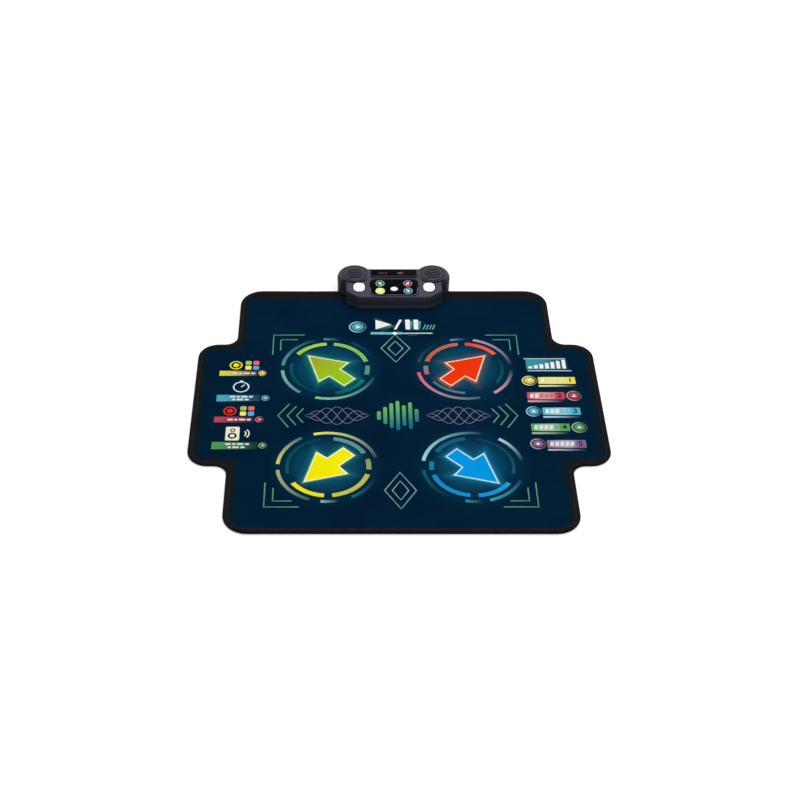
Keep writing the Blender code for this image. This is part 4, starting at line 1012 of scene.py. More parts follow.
@dataclass(frozen=True)
class Arrow:
    """The outline of a step pad's arrow along its own axis."""

    tip: float = 0.0690
    head_rear: float = 0.0150
    head_half: float = 0.0478
    notch: float = 0.0188
    shaft_half: float = 0.0174
    tail: float = 0.0672

    def points(self, place: Point, toward: Point, size: float = 1.0, grow: float = 0.0) -> list[tuple]:
        """Gives the outline's points.

        Args:
            place: The arrow's middle.
            toward: The direction of its point.
            size: Its scale.
            grow: How far the outline is moved outwards.

        Returns:
            The points, round the arrow.
        """
        half = [(self.tip + grow * 2.0, 0.0), (-self.head_rear - grow, self.head_half + grow * 1.7),
                (-self.notch - grow, self.shaft_half + grow), (-self.tail - grow, self.shaft_half + grow)]
        full = half + [(u, -w) for u, w in reversed(half[1:])]
        u_axis = Vector(toward).normalized()
        w_axis = Vector((-u_axis.y, u_axis.x))
        return [tuple(Vector(place) + (u_axis * u + w_axis * w) * size) for u, w in full]


@dataclass(frozen=True)
class Mat:
    """The soft mat: cover, tape, films, foam and underside, one over another."""

    wing_reach: float = 0.089
    wing_front: float = 0.205
    wing_rear: float = 0.212
    body_corner: float = 0.054
    wing_corner: float = 0.047
    wing_fillet: float = 0.029
    hem: float = 0.0009
    pad_grow: float = 0.0002
    tape: float = 0.0006
    tape_width: float = 0.0122
    grid: float = 0.031
    stitch: tuple[float, float, float] = (0.0031, 0.00032, 0.0046)   # length, radius, pitch
    stitch_inset: float = 0.0100
    film_inset: float = 0.0039
    pad_gap: float = 0.0004
    film_gap: float = 0.0012       # round the pads, in the foam and the upper film
    ribbon_gap: float = 0.0008
    screw_hole: float = 0.0020
    over: float = 0.001            # how far a cutter reaches past what it cuts

    def outline(self, name: str, inset: float, z: float) -> Piece:
        """Draws the mat's outline as a flat face.

        Args:
            name: The piece's name.
            inset: How far it is moved inwards.
            z: Its height.

        Returns:
            The face, its front upwards.
        """
        body, wing = MAT_HALF - self.wing_reach - inset, MAT_HALF - inset
        front, back = FRONT_Y + inset, BACK_Y - inset
        low, high = FRONT_Y + self.wing_front + inset, BACK_Y - self.wing_rear - inset
        piece = slab(name, (-body, front), (body, back), z=z)
        with editing(piece):
            for y in (low, high):
                cut((0, y, 0), (0, 1, 0))
            for side in (-1, 1):
                pick(piece, Kind.EDGES, lambda edge: all(
                    abs(v.co.x - side * body) < NEAR and low - NEAR < v.co.y < high + NEAR for v in edge.verts))
                bpy.ops.mesh.extrude_region_move(TRANSFORM_OT_translate={"value": (side * (wing - body), 0, 0)})
            bpy.ops.mesh.select_all(action="SELECT")
            bpy.ops.mesh.dissolve_limited()
            corners = ((body, front, back, self.body_corner - inset), (wing, low, high, self.wing_corner - inset),
                       (body, low, high, self.wing_fillet + inset))
            for x, first, last, radius in corners:
                pick(piece, Kind.POINTS, lambda v: abs(abs(v.co.x) - x) < NEAR
                     and min(abs(v.co.y - first), abs(v.co.y - last)) < NEAR)
                bpy.ops.mesh.bevel(offset=radius, segments=10, affect="VERTICES")
        return face_up(piece)

    def holes(self, rounds: dict[str, float], low: float, high: float) -> Piece:
        """Makes the cutter for round holes.

        Args:
            rounds: The radius of each hole, by the CAD node that lies in it.
            low: The lower side of what it cuts.
            high: The upper side of what it cuts.

        Returns:
            The cutter.
        """
        made = [disc(node, *middle_of(node), radius, low - self.over, steps_round(radius))
                for node, radius in rounds.items()]
        return combine("holes", [thicken(hole, high - low + 2 * self.over) for hole in made])

    def openings(self, gap: float, low: float, high: float) -> Piece:
        """Makes the cutter for the openings round all the touch pads."""
        return self.holes({zone: half_width(zone) + gap for zone in ZONES}, low, high)

    def screw_openings(self, low: float, high: float) -> Piece:
        """Makes the cutter for the clamp screws."""
        return self.holes({f"clamp_screw_{side}": self.screw_hole for side in ("left", "right")}, low, high)

    @staticmethod
    def lay_out(sheet: Piece, inset: float, under: str) -> None:
        """Does nothing with a sheet of the mat.

        Args:
            sheet: The sheet. Not used.
            inset: How far its edge lies inside the mat's outline. Not used.
            under: What it rests on. Not used.
        """

    def cover(self) -> None:
        """Builds the printed cover: flat in its field, and drawn down where the tape is sewn over it."""
        steps = ((0.0070, -0.00008), (0.0040, -0.00007), (0.0010, 0.00003), (0.0020, 0.00012), (0.0035, 0.00014),
                 (0.0050, 0.00010), (0.0080, 0.00006))
        sheet = thicken(self.outline("printed_cover", self.hem, COVER_LOW), COVER_TOP - COVER_LOW, steps)
        carve(sheet, self.openings(self.pad_gap, COVER_LOW, COVER_TOP), self.screw_openings(COVER_LOW, COVER_TOP))
        (low, high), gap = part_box("ribbon_tail"), self.ribbon_gap
        slot = slab("ribbon_opening", (low.x - gap, low.y - gap), (high.x + gap, high.y + gap), 0.001, 3,
                    COVER_LOW - self.over)
        carve(sheet, thicken(slot, 0.003))
        drape(slice_up(sheet, self.grid))
        mount(sheet, Look.COVER, "cover", stands_for=["top_cover"])
        self.lay_out(sheet, self.hem, "contact_film_upper")

    def binding(self) -> None:
        """Builds the folded edge tape from two halves of its rounded section."""
        middle = MAT_TOP / 2
        upper = ((0.0002, 0.0054), (0.0009, 0.0066), (0.0022, 0.0075), (0.0045, 0.00788), (0.0068, 0.0079),
                 (0.0086, 0.0078), (self.stitch_inset, 0.0076), (0.0114, 0.00768), (self.tape_width, 0.0075))
        lower = ((0.0002, 0.0026), (0.0009, 0.0013), (0.0022, 0.0004), (0.0045, 0.00003), (0.0090, 0.0),
                 (self.tape_width, 0.0))
        halves = []
        for name, levels in (("tape_upper", upper), ("tape_lower", lower)):
            half = self.outline(name, 0.0, middle)
            before = (0.0, middle)
            with editing(half):
                for level in levels:
                    bpy.ops.mesh.inset(thickness=level[0] - before[0], depth=level[1] - before[1])
                    before = level
                bpy.ops.mesh.delete(type="FACE")
            halves.append(half)
        tape = modify(outwards(combine("binding_tape", halves)), "SOLIDIFY", thickness=self.tape, offset=-1.0)
        drape(slice_up(tape, self.grid))
        mount(tape, Look.TAPE, "binding", stands_for=["edge_binding"], angle=50.0)

    def stitches(self) -> None:
        """Sews the tape: one stitch, repeated along the tape's inner edge."""
        line = self.outline("stitch_line", self.stitch_inset, 0.0)
        with editing(line):
            bpy.ops.mesh.delete(type="ONLY_FACE")
        lone(line)
        bpy.ops.object.convert(target="CURVE")
        length, radius, pitch = self.stitch
        stitch = rod("tape_stitches", radius, length, (length / 2, 0, 0.0076), 6)
        with editing(stitch):
            pick(stitch, Kind.FACES, lambda face: abs(face.normal.x) > 0.9)
            bpy.ops.mesh.inset(thickness=radius * 0.55, depth=radius * 0.8, use_individual=True)
        modify(stitch, "ARRAY", fit_type="FIT_CURVE", curve=line, use_relative_offset=False,
               use_constant_offset=True, constant_offset_displace=(pitch, 0, 0))
        modify(stitch, "CURVE", object=line)
        bpy.data.objects.remove(line, do_unlink=True)
        mount(drape(stitch), Look.THREAD, "binding")

    def layers(self) -> None:
        """Builds what lies under the cover: two contact films, the foam between them and the underside."""
        below = "underside_cloth"
        for name, node, finish, slot in (("contact_film_lower", "lower_membrane", Look.FILM, "film"),
                                         ("foam_layer", "foam_spacer", Look.FOAM, "foam"),
                                         ("contact_film_upper", "upper_membrane", Look.FILM, "film")):
            low, high = (corner.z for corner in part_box(node))
            sheet = thicken(self.outline(name, self.film_inset, low), high - low)
            carve(sheet, self.screw_openings(low, high))
            if node != "lower_membrane":
                carve(sheet, self.openings(self.film_gap, low, high))
            drape(slice_up(sheet, 2 * self.grid))
            mount(sheet, finish, slot, stands_for=[node])
            self.lay_out(sheet, self.film_inset, below)
            below = name

    def underside(self) -> None:
        """Builds the non-slip cloth, with its opening for the clamp plate."""
        low, high = (corner.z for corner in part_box("base_sheet"))
        step, play = 0.0005, 0.0003
        sheet = self.outline("underside_cloth", self.hem, high)
        with editing(sheet):
            lift(-step)
            bpy.ops.mesh.inset(thickness=self.tape_width - self.hem + play, depth=0.0)
            lift(low - high + step)
        outwards(sheet)
        plate_low, plate_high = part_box("clamp_plate")
        hole = slab("plate_opening", (plate_low.x - play, plate_low.y - play),
                    (plate_high.x + play, plate_high.y + play), z=-self.over)
        carve(sheet, thicken(hole, 0.004))
        mount(slice_up(sheet, 2 * self.grid), Look.NON_SLIP, "non_slip", stands_for=["base_sheet"])
        self.lay_out(sheet, self.hem, "floor")

    def pads(self) -> None:
        """Builds the touch pads: each a disc of the cover with a soft edge, on its own body."""
        for zone in ZONES:
            low, high = (corner.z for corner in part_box(zone))
            radius = half_width(zone) + self.pad_grow
            pad = disc(zone.replace("zone_", "pad_"), *middle_of(zone), radius, low, steps_round(radius))
            thicken(pad, high - low, fillet(0.0003, 2))
            if radius > 0.05:
                slice_up(pad, self.grid)
            mount(drape(pad), Look.COVER, "cover", body=zone, stands_for=[zone])

    def build(self) -> None:
        """Builds the whole mat."""
        self.underside()
        self.layers()
        self.cover()
        self.binding()
        self.stitches()
        self.pads()


@dataclass(frozen=True)
class PrintRoom:
    """Lays thin ink on the mat. Layer 0 touches the cover, and each next layer lies over it."""

    sink: float = 0.00015
    rise: float = 0.00010
    layer: float = 0.00006
    cell: float = 0.018
    digit_share: float = 0.72      # a figure's height against its letter size
    bold: float = 0.03

    def lay(self, piece: Piece, tint: Paint, body: str = "mat", level: int = 0) -> Piece:
        """Turns a flat shape into ink on the mat.

        Args:
            piece: The flat shape, at any height.
            tint: Its colour.
            body: The body that the ink rides on.
            level: The ink's layer.

        Returns:
            The ink.
        """
        low, top = COVER_TOP - self.sink, COVER_TOP + self.rise + level * self.layer
        reshape(piece, lambda p: (p.x, p.y, low))
        thicken(piece, top - low)
        return self.color(piece, tint, body)

    def color(self, piece: Piece, tint: Paint, body: str = "mat") -> Piece:
        """Slices, drapes and colours a solid shape that lies on the mat, and mounts it.

        Args:
            piece: The shape.
            tint: Its colour.
            body: The body that it rides on.

        Returns:
            The ink.
        """
        drape(slice_up(piece, self.cell))
        layer = piece.data.color_attributes.new(INK, "FLOAT_COLOR", "POINT")
        for point, stored in zip(piece.data.vertices, layer.data):
            stored.color = tint(point.co) if callable(tint) else (*tint, 1.0)
        return mount(piece, Look.PRINT, "cover", body=body)

    def bar(self, name: str, low: Point, high: Point, corner: float, tint: Paint, level: int = 0,
            steps: int = 2) -> None:
        """Prints a rectangle with rounded corners."""
        self.lay(slab(name, low, high, corner, steps), tint, level=level)

    def shape(self, name: str, points: Sequence[Point], tint: Paint, level: int = 0, body: str = "mat") -> None:
        """Prints the shape inside a chain of points."""
        self.lay(drawn(name, points), tint, body, level)

    def ring(self, name: str, place: Point, inner: float, outer: float, tint: Paint, level: int = 0,
             body: str = "mat") -> None:
        """Prints a whole ring."""
        self.lay(self.arc(name, place, inner, outer, 0, 360), tint, body, level)

    def arc(self, name: str, place: Point, inner: float, outer: float, start: float, end: float) -> Piece:
        """A flat piece of a ring.

        Args:
            name: The piece's name.
            place: The ring's middle.
            inner: Its inner radius.
            outer: Its outer radius.
            start: The angle of its start, in degrees from +X towards +Y.
            end: The angle of its end.

        Returns:
            The flat piece.
        """
        turn = math.radians(start)
        ends = [(place[0] + r * math.cos(turn), place[1] + r * math.sin(turn), 0.0) for r in (inner, outer)]
        piece = path(name, ends)
        with editing(piece, Kind.POINTS):
            bpy.ops.mesh.spin(steps=max(3, round(abs(end - start) / 4)), angle=math.radians(end - start),
                              center=(*place, 0.0), axis=(0, 0, -1))
        return face_up(piece)

    def line(self, name: str, points: Sequence[Point], width: float, tint: Paint, level: int = 0,
             closed: bool = False) -> Piece:
        """A drawn line with round ends.

        Args:
            name: The piece's name.
            points: The line's points in the plane.
            width: Its width.
            tint: Its colour.
            level: The ink's layer.
            closed: Whether the line joins its own start.

        Returns:
            The line as ink on the mat.
        """
        piece = path(name, [(x, y, 0.0) for x, y in points])
        if closed:
            with editing(piece, Kind.POINTS):
                pick(piece, Kind.POINTS, lambda v: len(v.link_edges) == 1)
                bpy.ops.mesh.edge_face_add()
        lone(piece)
        bpy.ops.object.convert(target="CURVE")
        piece.data.bevel_depth = width / 2
        piece.data.bevel_resolution = 1
        piece.data.use_fill_caps = True
        bpy.ops.object.convert(target="MESH")
        middle = COVER_TOP + self.rise / 2 + level * self.layer
        reshape(piece, lambda p: (p.x, p.y, middle + p.z / (width / 2) * self.rise))
        return self.color(outwards(piece), tint)

    def digit(self, name: str, text: str, place: Point, height: float) -> Piece:
        """A printed figure.

        Args:
            name: The piece's name.
            text: The figure.
            place: Its middle.
            height: Its height.

        Returns:
            The flat shape.
        """
        bpy.ops.object.select_all(action="DESELECT")
        bpy.ops.object.text_add()
        piece = bpy.context.object
        piece.data.body = text
        piece.data.size = height / self.digit_share
        piece.data.offset = height * self.bold
        piece.data.align_x, piece.data.align_y = "CENTER", "CENTER"
        bpy.ops.object.convert(target="MESH")
        piece = settle(bpy.context.object, name)
        with editing(piece):
            bpy.ops.mesh.dissolve_limited()
        return face_up(put(piece, Matrix.Translation((*place, 0.0))))


SHOP = PrintRoom()


@dataclass(frozen=True)
class RingPart:
    """One stretch of a broken ring: its radii, its angles, its colours and how far it covers at each end."""

    radii: tuple[float, float]
    start: float
    end: float
    first: str
    last: str
    full: float = 1.0
    faint: float = 1.0

    def tint(self, place: Point) -> Callable[[Vector], tuple]:
        """Gives the stretch's colour by the angle.

        Args:
            place: The ring's middle.

        Returns:
            What gives a point its colour and cover.
        """
        first, last = linear(self.first), linear(self.last)

        def shade(point: Vector) -> tuple:
            """Colours one point.

            Args:
                point: The point.

            Returns:
                Its colour and cover.
            """
            angle = math.degrees(math.atan2(point.y - place[1], point.x - place[0]))
            share = ((angle - self.start + 180) % 360 - 180) / (self.end - self.start)
            share = min(max(share, 0.0), 1.0)
            return (*blend(first, last, share), self.full + (self.faint - self.full) * share ** 1.5)

        return shade


# The radii of the broken rings' parts, and how far the rings are printed beside their pads' centres
DEEP = (0.0845, 0.0916)
INNER = (0.0845, 0.0955)
OUTER = (0.1045, 0.1125)
RING_SHIFT = 0.0012

# Each part's radii, its first and last angle, its first and last colour, and how far it covers at either end
RINGS = {
    "green": (
        (INNER, 94, 145, "#a8d552", "#9fcc4a"), (INNER, 16, 83, "#7fbf62", "#93c95c"),
        (INNER, -15, 6, "#4f9a78", "#4f9a78"), (DEEP, 168, 258, "#0c5c68", "#0a4c66", 0.9, 0.4),
        (INNER, -80, -28, "#0a6a84", "#0b7d70", 0.7, 1.0), (OUTER, 97, 76, "#4b9298", "#1d5a70", 1.0, 0.0),
        (OUTER, 174, 108, "#4f9c90", "#3c7c90", 1.0, 0.1), (OUTER, 184, 233, "#7dbf92", "#6aa4b4", 1.0, 0.6),
        (OUTER, 254, 345, "#8ed283", "#4fb0c4", 1.0, 0.0), (OUTER, 61, 20, "#0d4666", "#0d3a5c", 1.0, 0.2),
    ),
    "yellow": (
        (INNER, 215, 266, "#fbee1c", "#f6ea20"), (INNER, 277, 344, "#d2cf48", "#bdc060"),
        (INNER, -6, 15, "#98a668", "#889e6a"), (DEEP, 100, 195, "#0c5060", "#0c5c68", 0.6, 0.9),
        (INNER, 28, 82, "#5c9490", "#5f9a98", 1.0, 1.0), (OUTER, 263, 284, "#8fc0c4", "#1d5a70", 1.0, 0.0),
        (OUTER, 186, 250, "#b4b878", "#7fa8a4", 1.0, 0.2), (OUTER, 176, 122, "#dcd868", "#6fa0a4", 1.0, 0.4),
        (OUTER, 107, 15, "#f6ee60", "#8cb4b0", 1.0, 0.1), (OUTER, -61, -20, "#2d6676", "#0d3a5c", 1.0, 0.2),
    ),
    "red": (
        (INNER, 86, 35, "#ee4a38", "#f4644a"), (INNER, 97, 164, "#c0705c", "#b8603c"),
        (INNER, 174, 194, "#8c7c78", "#a0707c"), (DEEP, -36, 20, "#0c5c68", "#0c4a54", 0.9, 0.5),
        (DEEP, 213, 268, "#5c7f7c", "#5f8496", 0.8, 0.9), (OUTER, 105, 84, "#6f88a8", "#1d5a70", 1.0, 0.0),
        (OUTER, 76, 6, "#c49ab0", "#7f9cb4", 1.0, 0.0), (OUTER, 306, 358, "#d79aa4", "#7f9ab8", 1.0, 0.0),
        (OUTER, 188, 286, "#ea5578", "#8cc4e0", 1.0, 0.15), (OUTER, 132, 168, "#123f50", "#1d4f58", 0.5, 1.0),
    ),
    "blue": (
        (INNER, 325, 274, "#1fa0de", "#1894d4"), (INNER, 263, 197, "#1894d4", "#148ac8"),
        (INNER, 170, 187, "#1580a8", "#1580a8"), (INNER, 149, 98, "#126488", "#10607c"),
        (DEEP, 82, -15, "#0d4c5e", "#0f5c72", 0.6, 0.9), (OUTER, 170, 74, "#a0dce4", "#6cb8c8", 1.0, 0.0),
        (OUTER, 55, 10, "#b8d4e4", "#3f8898", 1.0, 0.1), (OUTER, 258, 279, "#3f8c96", "#1d5a70", 1.0, 0.0),
        (OUTER, 286, 336, "#3aa0b8", "#2f7f9c", 1.0, 0.2), (OUTER, 186, 238, "#14606a", "#0d4a5c", 0.9, 0.2),
    ),
}


@dataclass(frozen=True)
class StepPad:
    """A large arrow pad: the arrow on the pad, and the broken rings on the cover round it."""

    name: str
    fill: Tint
    rim: str
    drop: str = ""
    warm: str = ""
    arrow: Arrow = field(default_factory=Arrow)
    fall: tuple[float, float] = (-0.003, -0.0085)
    grow: tuple[float, float, float] = (0.0006, 0.0012, -0.0016)     # of the drop, the rim and the fill

    def build(self) -> None:
        """Prints the pad."""
        zone = f"zone_{self.name}_arrow"
        x, y = middle_of(zone)
        toward = (math.copysign(1, x), math.copysign(1, y - (FRONT_Y + 0.367)))
        ring = (x + RING_SHIFT, y)
        place = (x + ARROW_SHIFT[self.name][0], y + ARROW_SHIFT[self.name][1])
        drop, rim, fill = self.grow
        if self.drop:
            fallen, shade = (place[0] + self.fall[0], place[1] + self.fall[1]), linear(self.drop)
            SHOP.shape(f"arrow_drop_{self.name}", self.arrow.points(fallen, toward, grow=drop),
                       lambda p: (*shade, 0.92), 0, zone)
        SHOP.shape(f"arrow_rim_{self.name}", self.arrow.points(place, toward, grow=rim), linear(self.rim), 1, zone)
        warm = linear(self.warm or self.fill.value)
        tip = Vector(place) + Vector(toward).normalized() * self.arrow.tip

        def warmer(point: Vector) -> tuple:
            """The fill is a little warmer towards the head."""
            return (*blend(self.fill.rgb, warm, ease((point.xy - tip).length, 0.11, 0.02)), 1.0)

        SHOP.shape(f"arrow_{self.name}", self.arrow.points(place, toward, grow=fill), warmer, 2, zone)
        for k, row in enumerate(RINGS[self.name]):
            part = RingPart(*row)
            piece = SHOP.arc(f"ring_{self.name}_{k + 1}", ring, *part.radii, part.start, part.end)
            SHOP.lay(piece, part.tint(ring))


@dataclass(frozen=True)
class Badge:
    """A small pad's print: a ring with a gap, a disc and a sign."""

    zone: str
    tint: Tint
    sign: str = "up"

    def build(self) -> None:
        """Prints the badge on its own pad."""
        place, radius = middle_of(self.zone), half_width(self.zone)
        label = self.zone.replace("zone_", "")
        rgb, white = self.tint.rgb, Tint.WHITE.rgb
        pale = blend(rgb, white, 0.28)
        SHOP.ring(f"badge_ring_{label}", place, radius * 0.80, radius * 0.97, lambda p: (
            *pale, 0.25 + 0.75 * ease(place[0] + 0.6 * radius - p.x, 0.0, 0.9 * radius)), 0, self.zone)
        SHOP.lay(disc(f"badge_core_{label}", *place, radius * 0.66), lambda p: (
            *blend(rgb, (0.0, 0.0, 0.0), 0.3 * ease(p.y, place[1] + radius * 0.5, place[1] - radius * 0.6)), 1.0),
            self.zone)
        size, first = radius * 0.34, {"up": 90.0, "right": 0.0}[self.sign]
        turns = [math.radians(first + 120 * k) for k in range(3)]
        corners = [(place[0] + size * math.cos(a), place[1] + size * math.sin(a)) for a in turns]
        SHOP.shape(f"badge_sign_{label}", corners, blend(white, rgb, 0.08), 1, self.zone)


@dataclass(frozen=True)
class LevelRow:
    """A numbered bar beside its badge: a strip with a meter of pips, a cell with the number, a fading underline."""

    number: int
    tint: Tint
    left: float
    low: float
    width: float = 0.086
    height: float = 0.0245

    def build(self) -> None:
        """Prints the row."""
        n, y, rgb = self.number, FRONT_Y + self.low, self.tint.rgb
        right, top = self.left + self.width, y + self.height
        pale = blend(rgb, Tint.WHITE.rgb, 0.34)

        def strip(p: Vector) -> tuple:
            """The strip is palest in its middle."""
            share = (p.x - self.left) / self.width
            return (*blend(rgb, pale, ease(share, 0.0, 0.35) * ease(share, 0.85, 0.6)), 1.0)

        SHOP.bar(f"level_bar_{n}", (self.left, y), (right, top), 0.0012, strip)
        cell, rim = right - 0.0225, 0.0015
        SHOP.bar(f"level_cell_{n}", (cell, y + rim), (right - rim, top - rim), 0.001, rgb, 1)
        SHOP.lay(SHOP.digit(f"level_digit_{n}", str(n), (cell + 0.0105, y + self.height / 2), 0.0155),
                 blend(rgb, (0.0, 0.0, 0.0), 0.88), level=2)
        wide, lean, inset = 0.0078, 0.0020, 0.0055
        for k in range(5):
            x = self.left + 0.006 + k * 0.0112
            pip = [(x, y + inset), (x + wide, y + inset), (x + wide + lean, top - inset), (x + lean, top - inset)]
            shade = blend(Tint.WHITE.rgb, rgb, 0.18) if k < n else blend(rgb, pale, 0.35)
            SHOP.shape(f"level_pip_{n}_{k + 1}", pip, shade, 1)
        SHOP.bar(f"level_line_{n}", (self.left, y - 0.0100), (right, y - 0.0042), 0.0005,
                 lambda p: (*pale, 1.0 - ease(p.x, self.left + 0.2 * self.width, right)))


@dataclass(frozen=True)
class ModeRow:
    """A caption bar that fades out beside its badge."""

    label: str
    tint: Tint
    left: float
    right: float
    low: float
    height: float
    lines: int

    def build(self) -> None:
        """Prints the row."""
        y, start = FRONT_Y + self.low, self.left + 0.05 * (self.right - self.left)
        SHOP.bar(f"mode_bar_{self.label}", (self.left, y), (self.right, y + self.height), 0.0008,
                 lambda p: (*self.tint.rgb, 0.95 - 0.85 * ease(p.x, start, self.right)))
        dashes = []
        for k, share in enumerate(((0.33,), (0.58, 0.14))[self.lines - 1]):
            low = y + self.height * share
            x = self.left + 0.030 + 0.006 * k
            for long in (0.0125, 0.0070, 0.0150, 0.0095)[k:]:
                dashes.append(slab("dash", (x, low), (x + long, low + 0.0058), 0.0016, 2))
                x += long + 0.0030
        SHOP.lay(combine(f"mode_caption_{self.label}", dashes), lambda p: (*Tint.WHITE.rgb, 0.88), level=1)


@dataclass(frozen=True)
class Icons:
    """Plain signs over the caption bars: a target, a clock, tiles and a loudspeaker."""

    tile: float = 0.0140
    spread: float = 0.0090

    def tiles(self, label: str, x: float, y: float) -> None:
        """Four tiles in the pads' colours.

        Args:
            label: What its pieces' names end with.
            x: Its middle across.
            y: Its middle along.
        """
        spots = ((-1, 1, Tint.GREEN), (1, 1, Tint.RED), (-1, -1, Tint.YELLOW), (1, -1, Tint.BLUE))
        half = self.tile / 2
        for k, (sx, sy, tint) in enumerate(spots):
            u, v = x + sx * self.spread, y + sy * self.spread
            SHOP.bar(f"tile_{label}_{k + 1}", (u - half, v - half), (u + half, v + half), 0.0030,
                     blend(tint.rgb, Tint.WHITE.rgb, 0.15), steps=3)

    def target(self, label: str, x: float, y: float, tint: Tint) -> None:
        """A disc in a ring."""
        SHOP.ring(f"target_ring_{label}", (x, y), 0.0118, 0.0150, tint.rgb)
        SHOP.lay(disc(f"target_disc_{label}", x, y, 0.0068), tint.rgb)

    def clock(self, label: str, x: float, y: float) -> None:
        """A round clock with one hand and a knob.

        Args:
            label: What its pieces' names end with.
            x: Its middle across.
            y: Its middle along.
        """
        pale, rim, half = linear("#cfe8f2"), 0.0190, 0.0042
        SHOP.ring(f"clock_ring_{label}", (x, y), 0.0155, rim, pale)
        SHOP.line(f"clock_hand_{label}", [(x, y), (x + 0.0075, y + 0.0080)], 0.0030, pale)
        SHOP.bar(f"clock_knob_{label}", (x - half, y + rim), (x + half, y + rim + half), 0.0012, pale, steps=3)

    def speaker(self, label: str, x: float, y: float) -> None:
        """A loudspeaker box with two cones, and two sound waves beside it.

        Args:
            label: What its pieces' names end with.
            x: Its middle across.
            y: Its middle along.
        """
        pale, dark, half, tall = linear("#f4f3dc"), linear("#0c2a3a"), 0.0155, 0.0225
        SHOP.bar(f"speaker_box_{label}", (x - half, y - tall), (x + half, y + tall), 0.0035, pale, steps=4)
        for k, (rise, outer) in enumerate(((0.0110, 0.0058), (-0.0070, 0.0100))):
            SHOP.ring(f"speaker_cone_{label}_{k + 1}", (x, y + rise), outer * 0.55, outer, dark, 1)
        for k, radius in enumerate((0.0085, 0.0155)):
            wave = SHOP.arc(f"speaker_wave_{label}_{k + 1}", (x + 0.0200, y), radius, radius + 0.0030, -48, 48)
            SHOP.lay(wave, pale)

    def build(self) -> None:
        """Prints every sign."""
        self.target("1", -0.374, FRONT_Y + 0.5450, Tint.YELLOW)
        self.tiles("1", -0.336, FRONT_Y + 0.5450)
        self.clock("2", -0.358, FRONT_Y + 0.4660)
        self.target("3", -0.379, FRONT_Y + 0.3820, Tint.RED)
        self.tiles("3", -0.340, FRONT_Y + 0.3820)
        self.speaker("4", -0.369, FRONT_Y + 0.3060)


